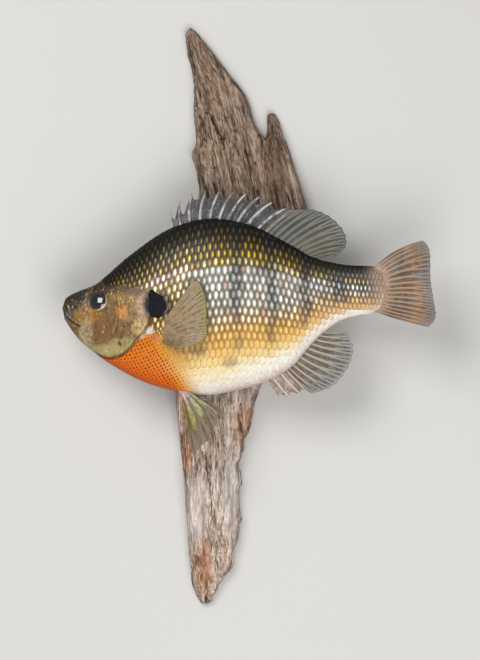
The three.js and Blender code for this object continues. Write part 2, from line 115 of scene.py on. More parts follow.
# The paint shows from the room side only, so that the mount can be looked at from behind as well.
studio_paint, tree, shader = material("pale studio paint", Roughness=0.9, Base_Color=(196, 194, 190))
behind = node(tree, "ShaderNodeNewGeometry", {}).outputs["Backfacing"]
clear = node(tree, "ShaderNodeBsdfTransparent", {}).outputs[0]
mixed = node(tree, "ShaderNodeMixShader", {0: behind, 1: shader.outputs[0], 2: clear})
connect(tree.nodes["Material Output"], {"Surface": mixed.outputs[0]})
sides = [(-STUDIO_REACH, -1), (STUDIO_REACH, -1), (STUDIO_REACH, 1), (-STUDIO_REACH, 1)]
studio_surface("wall", [(x, WALL_Y, STUDIO_REACH if way > 0 else FLOOR_Z) for x, way in sides])
studio_surface("floor", [(x, way * FLOOR_REACH, FLOOR_Z) for x, way in sides])

world = bpy.data.worlds.new("soft room light")
world.use_nodes = True
connect(world.node_tree.nodes["Background"], {"Color": (222, 224, 228), "Strength": 0.4})
bpy.context.scene.world = world

LIGHTS = {
    "key": ((-520, -1300, 640), 0.8, 15),
    "fill": ((250, -1250, -620), 1.1, 15),
    "back": ((400, 1250, 250), 1.0, 9),
}
for name, (place, size, power) in LIGHTS.items():
    lamp = bpy.data.lights.new(name, "AREA")
    lamp.size = size
    lamp.energy = power
    holder = shown(name, lamp)
    holder.location = Vector(place) * MM
    holder.rotation_euler = (-Vector(place)).to_track_quat("-Z", "Y").to_euler()

lens = bpy.data.cameras.new("camera")
lens.sensor_width = LONG_SIDE_SENSOR
lens.lens = LONG_SIDE_SENSOR * VIEW_DISTANCE / VIEW_HEIGHT
camera = shown("camera", lens)
camera.location = Vector((VIEW_CENTRE[0], FISH_PLANE_Y - VIEW_DISTANCE, VIEW_CENTRE[1])) * MM
camera.rotation_euler = (math.radians(90), 0, 0)
bpy.context.scene.camera = camera
bpy.context.scene.view_settings.view_transform = "Standard"

# ---------------------------------------------------------------- the form of the body
# The skin is stretched over a carved form. Its back and belly lines, half widths and the height of
# its widest place are given along the fish, and its middle plane bends towards wall and room.

SNOUT_X = -115.6
BODY_END_X = 116
BACK = [
    (-115.6, 3.4), (-112.8, 8.8), (-103, 14), (-90.9, 19.2), (-70.1, 37.2), (-46.2, 54.6), (-25.3, 63.2),
    (-6, 65.3), (19.5, 60.4), (49.4, 45.3), (62, 38.2), (85.2, 32.7), (107, 31.2), (116, 27.5),
]
BELLY = [
    (-115.6, -1), (-113.6, -7.4), (-104.4, -20.4), (-94.4, -29.1), (-83.1, -37.6), (-60.4, -50.4),
    (-37.6, -57.8), (-15, -61), (7.6, -57.8), (31.5, -50.6), (49.4, -39.6), (61.4, -25.4), (76, -12.1),
    (88, -6.2), (107, -2.6), (116, 2),
]
HALF_WIDTH = [
    (-115.6, 2.4), (-112, 4.8), (-104, 8), (-94, 11), (-72, 16.8), (-50, 19.6), (-15, 20.5), (15, 18.8),
    (40, 15), (62, 11), (85, 7.6), (107, 4.8), (116, 1.4),
]
WIDEST_Z = [(-115.6, 1), (-95, -2), (-72, -4), (-45, 1), (-10, 5), (40, 6), (70, 11), (116, 14.5)]
LATERAL_LINE = [
    (-116, 10), (-90, 12), (-70, 13), (-56, 17), (-45, 22), (-30, 29), (-18, 32), (0, 34.5), (18, 34),
    (40, 29.5), (60, 22.5), (75, 18.5), (90, 16), (116, 14.5),
]
BACK_ROUNDNESS, BELLY_ROUNDNESS = 1.05, 0.85
END_ROUNDING = 1.8
HEAD_BEND, HEAD_BEND_X, HEAD_BEND_LENGTH = 4, -20, 95
TAIL_BEND, TAIL_BEND_X, TAIL_BEND_LENGTH = 28, 15, 135
SEAT_PRESS_Y, SEAT_PRESS = -25, 0.37


def stations(points):
    """A smooth function through (x, value) stations."""
    xs, ys = np.array(points, float).T
    before = np.maximum(np.arange(len(xs)) - 1, 0)
    after = np.minimum(np.arange(len(xs)) + 1, len(xs) - 1)
    slopes = (ys[after] - ys[before]) / (xs[after] - xs[before])

    def value(x):
        x = np.clip(x, xs[0], xs[-1])
        i = np.clip(np.searchsorted(xs, x) - 1, 0, len(xs) - 2)
        span = xs[i + 1] - xs[i]
        t = (x - xs[i]) / span
        s = 1 - t
        ends = ys[i] * s * s * (1 + 2 * t) + ys[i + 1] * t * t * (3 - 2 * t)
        return ends + span * t * s * (slopes[i] * s - slopes[i + 1] * t)

    return value


back, belly, half_width, widest_z, lateral_line = (
    stations(points) for points in (BACK, BELLY, HALF_WIDTH, WIDEST_Z, LATERAL_LINE)
)


def midline(x):
    head = np.maximum(0, (HEAD_BEND_X - x) / HEAD_BEND_LENGTH)
    tail = np.maximum(0, (x - TAIL_BEND_X) / TAIL_BEND_LENGTH)
    return FISH_PLANE_Y + HEAD_BEND * head**2 - TAIL_BEND * tail**2


def form(x, angle):
    """Points of the carved form at x, at an angle round it that starts at its left side and goes up."""
    up, across = np.sin(angle), np.cos(angle)
    middle = widest_z(x)
    reach = np.where(up > 0, back(x) - middle, middle - belly(x))
    roundness = np.where(up > 0, BACK_ROUNDNESS, BELLY_ROUNDNESS)
    side = np.sign(across) * np.abs(across) ** roundness
    from_end = np.minimum(x - SNOUT_X, BODY_END_X - x) / END_ROUNDING
    rounding = np.sqrt(1 - (1 - np.clip(from_end, 0, 1)) ** 2)
    y = midline(x) - half_width(x) * rounding * side
    return np.stack([x + 0 * y, y, middle + reach * rounding * up], -1)


def unit(vectors):
    return vectors / np.maximum(np.linalg.norm(vectors, axis=-1, keepdims=True), 1e-9)


def form_normal(x, angle):
    along = form(x + 0.2, angle) - form(x - 0.2, angle)
    around = form(x, angle + 0.01) - form(x, angle - 0.01)
    return unit(np.cross(along, around))


def on_form(x, angle, out):
    """Points that stand out from the form by a distance, pressed flat where the fish meets its seat."""
    points = form(x, angle) + form_normal(x, angle) * np.asarray(out)[..., None]
    beyond = points[..., 1] - SEAT_PRESS_Y
    points[..., 1] = np.where(beyond > 0, SEAT_PRESS_Y + beyond * SEAT_PRESS, points[..., 1])
    return points


def angle_at(x, z, side):
    """The angle of a place seen from the side: side -1 is the fish's left and 1 its right."""
    middle = widest_z(x)
    reach = np.where(z > middle, back(x) - middle, middle - belly(x))
    angle = np.arcsin(np.clip((z - middle) / reach, -1, 1))
    return angle if side < 0 else math.pi - angle

# ---------------------------------------------------------------- the skin
# The real skin, tanned, glued over the form and varnished. It is one piece from the lips to the root
# of the tail, and it carries the gill covers, the jaws, the sockets of the eyes and the nostrils.

WELD = 0.004


def height_share(x, z):
    """0 on the belly line, 1 on the lateral line and 2 on the back line."""
    line = lateral_line(x)
    below = (z - belly(x)) / (line - belly(x))
    above = (z - line) / (back(x) - line)
    return np.where(z < line, below, 1 + above)


def smoothstep(low, high, value):
    t = np.clip((value - low) / (high - low), 0, 1)
    return t * t * (3 - 2 * t)


def through(a, b, c, d, f):
    """A smooth way from b to c, that comes from a and goes on to d."""
    v0, v1 = (c - a) / 2, (d - b) / 2
    return (2 * b - 2 * c + v0 + v1) * f**3 + (3 * c - 3 * b - 2 * v0 - v1) * f**2 + v0 * f + b


def spline(points, count, closed=False):
    """Points along a smooth curve through a few places."""
    p = np.array(points, float)
    n = len(p)
    t = np.linspace(0, n if closed else n - 1, count, endpoint=not closed)
    i = np.minimum(np.floor(t).astype(int), n - 1 if closed else n - 2)
    near = ((p[(i + k) % n] if closed else p[np.clip(i + k, 0, n - 1)]) for k in (-1, 0, 1, 2))
    return through(*near, (t - i)[:, None])


def line_distance(x, z, line):
    """Distance to a line of (x, z) places, and on which side of it a place lies."""
    best = np.full(x.shape, 1e9)
    side = np.zeros(x.shape)
    for (x0, z0), (x1, z1) in zip(line[:-1], line[1:]):
        dx, dz = x1 - x0, z1 - z0
        t = np.clip(((x - x0) * dx + (z - z0) * dz) / (dx * dx + dz * dz), 0, 1)
        away = np.hypot(x - x0 - t * dx, z - z0 - t * dz)
        nearer = away < best
        side = np.where(nearer, np.sign((x - x0) * dz - (z - z0) * dx), side)
        best = np.where(nearer, away, best)
    return best, side


def outline_distance(x, z, loop):
    """Distance to a closed outline, less than nothing inside it."""
    closed = np.vstack([loop, loop[:1]])
    inside = np.zeros(x.shape, bool)
    for (x0, z0), (x1, z1) in zip(closed[:-1], closed[1:]):
        crosses = (z0 > z) != (z1 > z)
        inside ^= crosses & (x < (x1 - x0) * (z - z0) / (z1 - z0 + 1e-12) + x0)
    away, _ = line_distance(x, z, closed)
    return np.where(inside, -away, away)


def laid(name, columns, rows, place):
    """A grid laid over a shape by place(u, v) in millimetres, and welded where its edges meet."""
    bm = bmesh.new()
    bmesh.ops.create_grid(bm, x_segments=columns, y_segments=rows, size=0.5)
    uv_layer = bm.loops.layers.uv.new("OFBake")
    flat = np.array([v.co for v in bm.verts]) + 0.5
    u, v = flat[:, 0].clip(0, 1), flat[:, 1].clip(0, 1)
    points, fields = place(u, v)
    layers = {key: bm.verts.layers.float.new(key) for key in fields}
    for vert, co in zip(bm.verts, points * MM):
        vert.co = co
    for key, values in fields.items():
        for vert, value in zip(bm.verts, values):
            vert[layers[key]] = value
    for face in bm.faces:
        face.smooth = True
        for loop in face.loops:
            i = loop.vert.index
            loop[uv_layer].uv = (u[i], v[i])
    bmesh.ops.remove_doubles(bm, verts=bm.verts, dist=WELD * MM)
    bmesh.ops.recalc_face_normals(bm, faces=bm.faces)
    return mesh_of(bm, name)


def piece_of(name, mesh, finish, slot, *replaced):
    """Puts a finished mesh in the scene as a piece that rides with the mount."""
    made = shown(name, mesh)
    mesh.materials.clear()
    mesh.materials.append(finish)
    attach(made, "root")
    if replaced:
        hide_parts(*replaced)


COAT_DEPTH, HEAD_COAT_DEPTH = 0.6, 0.25
EYE = {"x": -90.3, "z": 6.6, "radius": 7.6, "depth": 4.2, "sunk": 2, "opening": 6.7, "socket": 4.2}
GILL_COVER = spline(
    [
        (-78, 14), (-76.3, 3.6), (-76, -9), (-79, -18.5), (-85, -24), (-90.5, -26.5), (-89.5, -30.6),
        (-83, -33.6), (-76, -32.6), (-69.5, -27.8), (-63.5, -20.5), (-58.2, -14.5), (-53.6, -5), (-52.4, 4),
        (-54.4, 13.4), (-61, 18.2), (-70, 18),
    ],
    80,
    closed=True,
)
GILL_OPENING = spline(
    [(-97, -29), (-90, -32.4), (-83, -35), (-75.5, -33.6), (-68, -28.2), (-62, -21), (-56.8, -15),
     (-52.4, -5), (-51.3, 4), (-53.2, 11.5), (-59, 15.6), (-68, 16.4)],
    50,
)
HEAD_OUTLINE = np.vstack(
    [GILL_OPENING, [(-76, 16), (-84, 17), (-92, 26), (-130, 40), (-130, -60), (-98, -40)]]
)
PREOPERCLE = spline([(-79, 13), (-77.2, 3.6), (-77.2, -9), (-80.6, -17), (-86, -22), (-93, -24)], 30)
CHEEK_FOLD = spline([(-84, 2), (-82.6, -6), (-85, -13), (-91, -17.5), (-97, -18)], 24)
GAPE = spline([(-117, -1.6), (-114.4, -3.4), (-111.4, -6.6), (-107.6, -9.4), (-103.4, -11.4)], 20)
MAXILLA = spline(
    [(-108.6, -1), (-106.2, 0.6), (-103.4, -5), (-102.2, -9.8), (-104.2, -12), (-106.8, -8.8)],
    30,
    closed=True,
)
UPPER_LIP = spline([(-114.6, 8), (-112.2, 5), (-110.2, 1), (-108.8, -3.6), (-107.4, -8.6)], 20)
CHIN_LINE = spline([(-104, -12.6), (-101.8, -17), (-99.4, -22), (-96.6, -27)], 16)
NOSTRILS = [(-104.2, 6.2), (-100.6, 8.4)]
SENSORY_PORES = [(-108, 7.6), (-99.4, -1.8), (-95.4, -4.4), (-90.2, -5.2), (-85, -3.4), (-79.4, -4),
                 (-79.4, -11), (-83, -18.6), (-89, -22.4), (-100.6, -15), (-98.2, -20)]
BRANCHIOSTEGALS = [
    spline(
        [(-98, -24.5 - 2.1 * k), (-90, -27.6 - 2.1 * k), (-81, -29.8 - 1.4 * k), (-73, -27 - 1.2 * k)], 16
    )
    for k in range(3)
]
LOOSE_SKIN_X = -48
# Where the columns of the skin's grid stand along the fish: closer together on the head.
COLUMN_PLACES = [
    (0, SNOUT_X), (0.03, SNOUT_X + 1.2), (0.62, -50), (0.68, -44), (0.985, 112), (1, BODY_END_X),
]


def bump(distance, width):
    return np.exp(-((distance / width) ** 2))


def relief(x, z):
    """How far the skin stands out from the form at a place seen from the side."""
    cover = outline_distance(x, z, GILL_COVER)
    out = 0.8 * smoothstep(0.5, -0.7, cover) * smoothstep(17, 9, z)
    opening, _ = line_distance(x, z, GILL_OPENING)
    out -= 1.5 * bump(opening, 0.75) * smoothstep(18, 6, z)
    ridge, side = line_distance(x, z, PREOPERCLE)
    out += 0.5 * bump(ridge, 1.5) * (side > 0) - 0.55 * bump(ridge, 0.8) * (side <= 0)
    fold, side = line_distance(x, z, CHEEK_FOLD)
    out += 0.22 * bump(fold, 1.6) - 0.3 * bump(fold - 1.2 * side, 0.9)
    for line in BRANCHIOSTEGALS:
        rib, _ = line_distance(x, z, line)
        out += 0.25 * bump(rib, 0.7)
    bone = outline_distance(x, z, MAXILLA)
    out += 0.75 * smoothstep(0.4, -0.6, bone) - 0.5 * bump(bone - 0.7, 0.45)
    gape, _ = line_distance(x, z, GAPE)
    out += 0.5 * bump(gape - 1.3, 0.8) - 1.9 * bump(gape, 0.5)
    for line, depth in ((UPPER_LIP, 0.5), (CHIN_LINE, 0.6)):
        crease, _ = line_distance(x, z, line)
        out -= depth * bump(crease, 0.55)
    for px, pz in NOSTRILS:
        away = np.hypot(x - px, z - pz)
        out += 0.35 * bump(away - 1.1, 0.4) - 1.0 * bump(away, 0.65)
    for px, pz in SENSORY_PORES:
        out -= 0.35 * bump(np.hypot(x - px, z - pz), 0.5)
    brow = np.hypot((x - EYE["x"]) / 1.25, z - EYE["z"])
    out += 0.55 * bump(brow - 9.0, 1.6) * smoothstep(-4, 6, z - EYE["z"])
    out -= 0.35 * bump(np.hypot((x + 98) / 1.6, z - 2.5), 4.5)
    out += 0.5 * bump(np.hypot((x + 50) / 1.3, z + 19.5), 4.5)
    return out * smoothstep(LOOSE_SKIN_X + 4, LOOSE_SKIN_X - 2, x) * smoothstep(SNOUT_X, SNOUT_X + 3, x)


def eye_place(side):
    """Centre of an eyeball, the way it faces, and two directions in its plane."""
    x = np.array([EYE["x"]])
    angle = angle_at(x, EYE["z"], side)
    facing = form_normal(x, angle)[0]
    centre = form(x, angle)[0] - facing * EYE["sunk"]
    up = unit(np.array([0, 0, 1]) - facing * facing[2])
    return centre, facing, np.cross(up, facing) * side, up


def skin_depth(x):
    """How far the skin lies inside the true outline: by the scales' height, and less on the head."""
    return HEAD_COAT_DEPTH + (COAT_DEPTH - HEAD_COAT_DEPTH) * smoothstep(-82, -56, x)


def head_share(x, z):
    """1 on the head in front of the gill opening, and 0 behind it."""
    return smoothstep(0.8, -0.8, outline_distance(x, z, HEAD_OUTLINE))


def place_skin(u, v):
    x = np.interp(u, *zip(*COLUMN_PLACES))
    angle = (2 * v - 1) * math.pi
    across = np.cos(angle)
    z = form(x, angle)[:, 2]
    out = relief(x, z) * np.minimum(np.abs(across) * 4, 1) - skin_depth(x)
    points = on_form(x, angle, out)
    for side in (-1, 1):
        centre, facing, ahead, up = eye_place(side)
        apart = points - centre
        deep = apart @ facing
        away = np.linalg.norm(apart - deep[:, None] * facing, axis=1)
        near = (np.abs(deep) < 9) & (across * side < 0)
        in_socket = smoothstep(EYE["opening"] + 0.15, EYE["opening"] - 0.75, away)
        points = points - (EYE["socket"] * near * in_socket)[:, None] * facing
    # Painted shade: the skin is darkened along the gill slit, in the mouth slit and in the nostrils.
    gill, _ = line_distance(x, z, GILL_OPENING)
    gape, _ = line_distance(x, z, GAPE)
    crease_shade = np.maximum(bump(gill + 3 * smoothstep(8, 16, z), 1.0), bump(gape, 0.7))
    crease_shade = np.maximum(crease_shade, sum(bump(np.hypot(x - px, z - pz), 0.6) for px, pz in NOSTRILS))
    return points, {"height_share": height_share(x, z), "head": head_share(x, z), "crease_shade": crease_shade}


class Signal:
    """A shader value that is reckoned with like a number. Every step adds a Math node."""

    def __init__(self, socket):
        self.socket = socket

    def __add__(self, other):
        return maths("ADD", self, other)

    def __sub__(self, other):
        return maths("SUBTRACT", self, other)

    def __rsub__(self, other):
        return maths("SUBTRACT", other, self)

    def __mul__(self, other):
        return maths("MULTIPLY", self, other)

    def __truediv__(self, other):
        return maths("DIVIDE", self, other)


def step(kind, inputs, output=0, **settings):
    """One more node beside those that feed it, and its output."""
    tree = next(value.socket.id_data for value in inputs.values() if isinstance(value, Signal))
    return Signal(node(tree, kind, inputs, **settings).outputs[output])


def maths(operation, *values):
    return step("ShaderNodeMath", dict(enumerate(values)), operation=operation)


def ease(value, low, high, start=0.0, end=1.0):
    """A smooth step from start to end as a value goes from low to high."""
    inputs = {"Value": value, "From Min": low, "From Max": high, "To Min": start, "To Max": end}
    return step("ShaderNodeMapRange", inputs, "Result", interpolation_type="SMOOTHSTEP")


def blend(share, under, over, how="MIX"):
    return step("ShaderNodeMix", {0: share, 6: under, 7: over}, 2, data_type="RGBA", blend_type=how)


def tinted(share, under, tint):
    """A colour darkened by a tint, as by a thin glaze."""
    return blend(share, under, blend(1.0, under, tint, "MULTIPLY"))


def ramp(value, *stops):
    """A colour, or a grey level, that changes with a value from stop to stop."""
    made = node(value.socket.id_data, "ShaderNodeValToRGB", {"Fac": value})
    elements = made.color_ramp.elements
    elements.remove(elements[1])
    elements[0].position = stops[0][0]
    for position, colour in stops:
        element = elements[0] if position == stops[0][0] else elements.new(position)
        element.color = paint(*colour) if isinstance(colour, tuple) else (colour, colour, colour, 1)
    return Signal(made.outputs["Color"])


def stretched(place, by, operation="MULTIPLY"):
    return step("ShaderNodeVectorMath", {0: place, 1: by}, operation=operation)


def cloud(place, scale, detail=2.0, roughness=0.5, stretch=None):
    """Soft noise around 0.5, with `scale` cycles a millimetre."""
    place = stretched(place, stretch) if stretch else place
    inputs = {"Vector": place, "Scale": scale, "Detail": detail, "Roughness": roughness}
    return step("ShaderNodeTexNoise", inputs)


def length(dx, dz):
    return maths("SQRT", dx * dx + dz * dz)


def spot(x, z, centre, radii, soft=0.5):
    """A soft oval, 1 inside and 0 outside."""
    away = length((x - centre[0]) / radii[0], (z - centre[1]) / radii[1])
    return ease(away, 1 + soft, 1 - soft)


def apart(place):
    """The three parts of a place."""
    made = node(place.socket.id_data, "ShaderNodeSeparateXYZ", {0: place})
    return [Signal(socket) for socket in made.outputs]


def grained(height, strength, depth):
    """A normal that follows a height, whose whole step stands for a depth in millimetres."""
    return step("ShaderNodeBump", {"Strength": strength, "Distance": depth * MM, "Height": height})


def millimetres(tree):
    place = Signal(node(tree, "ShaderNodeTexCoord", {}).outputs["Object"])
    return step("ShaderNodeVectorMath", {0: place, "Scale": 1 / MM}, operation="SCALE")


def field(tree, name):
    return Signal(node(tree, "ShaderNodeAttribute", {}, attribute_name=name).outputs["Fac"])


def group_of(name, inputs, outputs):
    """A new shader node group with named sockets."""
    made = bpy.data.node_groups.new(name, "ShaderNodeTree")
    for key, kind in inputs.items():
        made.interface.new_socket(key, in_out="INPUT", socket_type=kind)
    for key, kind in outputs.items():
        made.interface.new_socket(key, in_out="OUTPUT", socket_type=kind)
    given = node(made, "NodeGroupInput", {}).outputs
    return made, {key: Signal(given[key]) for key in inputs}, node(made, "NodeGroupOutput", {})


def used(tree, group, inputs):
    """Puts a node group in a material, and gives its outputs."""
    made = node(tree, "ShaderNodeGroup", inputs, node_tree=group)
    return {socket.name: Signal(socket) for socket in made.outputs}


FLOAT, COLOUR, VECTOR = "NodeSocketFloat", "NodeSocketColor", "NodeSocketVector"
WHITE, CREAM, PEACH, SILVER = (252, 248, 238), (240, 206, 132), (164, 137, 116), (173, 169, 158)
OLIVE, DARK, NEAR_BLACK = (84, 66, 30), (29, 24, 12), (12, 10, 6)
BAR_PITCH, BAR_START, BAR_BLUE = 24.6, 5.8, (16, 25, 32)
BLOTCHES = [
    ((30, 29), (9, 6), 0.75), ((-18, -29), (5, 4), 0.6), ((4, -37), (5, 4), 0.5),
    ((33, -14), (4, 9), 0.7), ((57, -4), (3, 8), 0.7), ((8, -22), (4, 7), 0.5),
]
SHOULDER_PATCHES = [
    ((-54.5, -14.5), (4.2, 2.6), 0.85, (214, 204, 196)), ((-61, -18.4), (3.6, 2.2), 0.8, (214, 200, 188)),
    ((-49, -19.5), (3, 2.4), 0.6, (178, 84, 60)), ((-44.5, 4.5), (6, 9), 0.75, (16, 15, 18)),
]

# The body's markings, shared by skin and scales. Ground is the colour between the scales' flecks,
# Fleck the colour of a scale's bright middle, and Show how strongly that stands out. Dots says where
# a scale has a dark dot in place of a fleck. Heights run from 0 on the belly to 1 on the back.
markings, given, result = group_of(
    "bluegill markings",
    {"Place": VECTOR, "Height share": FLOAT, "Chance": FLOAT},
    {"Ground": COLOUR, "Fleck": COLOUR, "Show": FLOAT, "Dots": FLOAT},
)
place = given["Place"]
across, _, upward = apart(place)
drift = cloud(place, 0.075, 3) - 0.5
x = across + drift * 12
wander = cloud(place, 0.13, 3, stretch=(1, 1, 0.6)) - 0.5
height = (given["Height share"] + wander * 0.16) * 0.5

trunk = ramp(
    height, (0.0, WHITE), (0.06, (250, 236, 204)), (0.11, (246, 216, 142)), (0.2, (220, 162, 62)),
    (0.26, (178, 138, 74)), (0.33, (152, 147, 135)), (0.47, SILVER), (0.5, (136, 114, 64)),
    (0.58, (114, 90, 42)), (0.68, OLIVE), (0.82, DARK), (1.0, NEAR_BLACK),
)
shoulder = ramp(
    height, (0.0, WHITE), (0.07, CREAM), (0.15, (204, 150, 64)), (0.24, (128, 96, 52)),
    (0.36, (142, 112, 62)), (0.47, (172, 144, 98)), (0.52, (124, 96, 42)), (0.62, OLIVE), (0.76, DARK),
    (1.0, NEAR_BLACK),
)
stem = ramp(
    height, (0.0, WHITE), (0.09, (248, 234, 212)), (0.17, (212, 168, 112)), (0.3, (156, 132, 98)),
    (0.42, (116, 113, 106)), (0.52, (92, 88, 74)), (0.62, (72, 60, 30)), (0.82, DARK), (1.0, (14, 12, 7)),
)
ground = blend(ease(x, -14, -34), trunk, shoulder)
ground = blend(ease(x, 46, 82), ground, stem)
ground = blend(ease(height, 0.15, 0.07) * ease(x, -6, 26) * 0.75, ground, WHITE)

wave = maths("SINE", x * (2 * math.pi / BAR_PITCH) + BAR_START)
bars = ease(wave, 0.05, 0.95) * ease(height, 0.2, 0.36) * ease(x, -24, 2, 0.25, 0.95)
bars = bars * ease(cloud(place, 0.22, 2), 0.3, 0.55, 0.45, 1)
for centre, radii, strength in BLOTCHES:
    bars = maths("MAXIMUM", bars, spot(x, upward, centre, radii) * strength)
ground = blend(bars, ground, blend(0.76, ground, BAR_BLUE))

# The breast is orange under the throat, and yellow where it meets the belly.
edge = upward * 0.52 + drift * 8 + across
yellow = ease(edge, -44, -62) * ease(upward, -12, -22)
orange = ease(edge, -52, -68) * ease(upward, -14, -22)
ground = blend(yellow, ground, (240, 166, 40))
ground = blend(orange, ground, blend(ease(height, 0.14, 0.0), (238, 128, 4), (230, 102, 2)))
ground = blend(ease(height, 0.035, 0.0) * ease(across, -14, 6) * 0.5, ground, (226, 156, 140))
mottle = blend(cloud(place, 0.55, 4, 0.6), (178, 176, 172), (255, 255, 255))
ground = blend(1.0, ground, mottle, "MULTIPLY")

gilt = ramp(
    height, (0.08, CREAM), (0.16, (234, 178, 80)), (0.24, (246, 214, 140)), (0.32, (250, 240, 218)),
    (0.44, (246, 244, 240)), (0.485, (248, 242, 222)), (0.51, (250, 230, 104)), (0.6, (230, 198, 54)),
    (0.7, (186, 156, 48)), (0.84, (120, 100, 34)), (1.0, (50, 42, 18)),
)
rear_gilt = ramp(
    height, (0.08, CREAM), (0.14, (226, 170, 100)), (0.3, (238, 192, 118)), (0.4, (236, 214, 176)),
    (0.46, (214, 222, 228)), (0.53, (206, 210, 204)), (0.6, (206, 176, 92)), (0.75, (130, 108, 44)),
    (1.0, (36, 30, 14)),
)
front_gilt = ramp(
    height, (0.1, CREAM), (0.2, (236, 192, 104)), (0.34, (252, 222, 134)), (0.46, (255, 240, 186)),
    (0.5, (255, 250, 228)), (0.56, (230, 198, 72)), (0.68, (180, 150, 46)), (0.82, (116, 96, 30)),
    (1.0, (36, 30, 14)),
)
fleck = blend(ease(x, -20, -36), gilt, front_gilt)
fleck = blend(ease(x, 40, 66), fleck, rear_gilt)
pink = ease(given["Chance"], 0.86, 0.93) * ease(height, 0.14, 0.26) * ease(height, 0.56, 0.5)
fleck = blend(pink * 0.8, fleck, (222, 132, 104))
fleck = blend(bars * 0.5, fleck, (92, 114, 132))
show = ramp(height, (0.08, 0.0), (0.2, 0.55), (0.28, 1.0), (0.6, 1.0), (0.74, 0.9), (0.9, 0.6))
show = show * (1 - yellow) * (1 - bars * 0.45) * ease(across, 112, 98, 0.35, 1.0)

# A pale streak follows the lateral line behind the head.
line = maths("ABSOLUTE", upward - (across * 0.21 + 32.2))
line = ease(line, 2.2, 0.6) * ease(across, -18, -28) * ease(across, -57, -50)
ground = blend(line * 0.5, ground, (176, 150, 148))
fleck = blend(line * 0.6, fleck, (240, 220, 228))
for centre, radii, strength, tint in SHOULDER_PATCHES:
    patch = spot(x, upward, centre, radii) * strength
    ground = blend(patch, ground, tint)
    show = show * (1 - patch)
    yellow = yellow * (1 - patch)
ground = blend(ease(across, 96, 112, 0.0, 0.75), ground, PEACH)
dots = yellow * ease(across, -22, -40, 0.3, 1.0)
connect(result, {"Ground": ground, "Fleck": fleck, "Show": show, "Dots": dots})

# The head's colours: dark olive on top, ochre round the eye, a brown cheek, tan gill covers with
# gold and rosy grains, and pale jaws and throat.
HEAD_PATCHES = [
    ((-86, -11), (10, 8), 0.4, (128, 82, 54)), ((-97, -4), (9, 5), 0.75, (158, 114, 34)),
    ((-64, 0), (9, 10), 0.6, (162, 128, 90)), ((-73, -1), (4.2, 4.6), 0.7, (214, 142, 66)),
    ((-72, 9), (9, 5), 0.6, (150, 114, 50)), ((-66, 17), (15, 5.5), 0.9, (84, 66, 28)),
    ((-58, 3), (4, 8), 0.6, (186, 158, 140)), ((-88, -29), (14, 4.5), 0.8, (170, 155, 104)),
    ((-72, -25), (12, 5), 0.75, (162, 146, 92)), ((-60, -12), (6, 6), 0.7, (204, 172, 116)),
    ((-99, -19), (5, 12), 0.8, (168, 148, 116)), ((-112, -1), (4.4, 6), 0.9, (88, 82, 84)),
]
FRECKLES = [(-70.5, -8), (-73.5, -20), (-71.5, -12), (-68, -10), (-74.5, -24)]
head_colours, given, result = group_of("bluegill head", {"Place": VECTOR}, {"Colour": COLOUR})
place = given["Place"]
across, _, upward = apart(place)
drift = cloud(place, 0.2, 4, 0.6) - 0.5
x, z = across + drift * 7, upward - drift * 7
colour = blend(cloud(place, 0.35, 4, 0.6), (74, 56, 26), (140, 110, 62))
for centre, radii, strength, tint in HEAD_PATCHES:
    colour = blend(spot(x, z, centre, radii) * strength, colour, tint)
crown = z - (x * 0.46 + 53.6)
colour = blend(ease(crown, -9, 3, 0.0, 0.95), colour, (26, 22, 9))
colour = blend(spot(x, z, (-107, 7), (7, 5)), colour, (38, 34, 24))
for scale, low, tint in ((0.55, 0.48, (96, 62, 42)), (0.4, 0.52, (54, 44, 26))):
    stains = ease(cloud(place, scale, 4, 0.65, stretch=(1, 1, 0.5)), low, low + 0.17, 0, 0.7)
    colour = blend(stains * ease(z, -29, -19, 0.25, 1.0), colour, tint)
GRAINS = [
    (0.0, ease(z, -4, 6, 0.0, 0.8), 0.4, (216, 180, 92)),
    (57.3, ease(z, -22, -8, 0.0, 0.8), 0.48, (220, 178, 156)),
    (91.1, ease(z, -2, -14, 0.0, 0.8), 0.5, (206, 196, 132)),
]
for shift, where, low, tint in GRAINS:
    moved = stretched(place, (shift, 0, 0), "ADD")
    cells = {"Vector": stretched(moved, (1, 1, 0.5)), "Scale": 0.5}
    torn = step("ShaderNodeTexVoronoi", cells, "Distance") * (cloud(moved, 1.1, 3) * 1.6 + 0.2)
    chosen = ease(cloud(moved, 0.13, 2), low, low + 0.14)
    colour = blend(ease(torn, 0.38, 0.1, 0, 0.8) * chosen * where, colour, tint)
for centre in FRECKLES:
    colour = blend(spot(x, z, centre, (1.1, 1.2)) * 0.7, colour, (48, 44, 34))
colour = blend(spot(across, upward, (-53, 4), (4.6, 8), 0.45), colour, (12, 12, 18))
connect(result, {"Colour": colour})


def dressed(tree, chance):
    """Where a place is, and the markings and head colours there."""
    here = millimetres(tree)
    inputs = {"Place": here, "Height share": field(tree, "height_share"), "Chance": chance}
    return here, used(tree, markings, inputs), used(tree, head_colours, {"Place": here})["Colour"]


skin_finish, tree, shader = material(
    "varnished skin", Roughness=0.36, Coat_Weight=0.35, Coat_Roughness=0.14, Specular_IOR_Level=0.3
)
here, marked, on_head = dressed(tree, 0.0)
colour = blend(field(tree, "head"), marked["Ground"], on_head)
# Painted shade: the colour darkens in the gill slit, the mouth slit and the nostrils.
colour = blend(field(tree, "crease_shade") * 0.75, colour, (52, 34, 26))
pebbles, wrinkles = cloud(here, 1.3, 4, 0.6), cloud(here, 0.45, 3, 0.55)
connect(shader, {
    "Base Color": colour, "Roughness": ease(wrinkles, 0.3, 0.7, 0.3, 0.46),
    "Normal": grained(wrinkles * 1.4 + pebbles, 0.55, 0.25),
})
piece_of(
    "fish_skin", laid("fish_skin", 300, 300, place_skin), skin_finish, "fish_skin",
    "head", "upper_jaw", "lower_jaw", "maxilla_left", "maxilla_right", "gill_cover_left",
    "gill_cover_right", "trunk", "tail_peduncle",
)

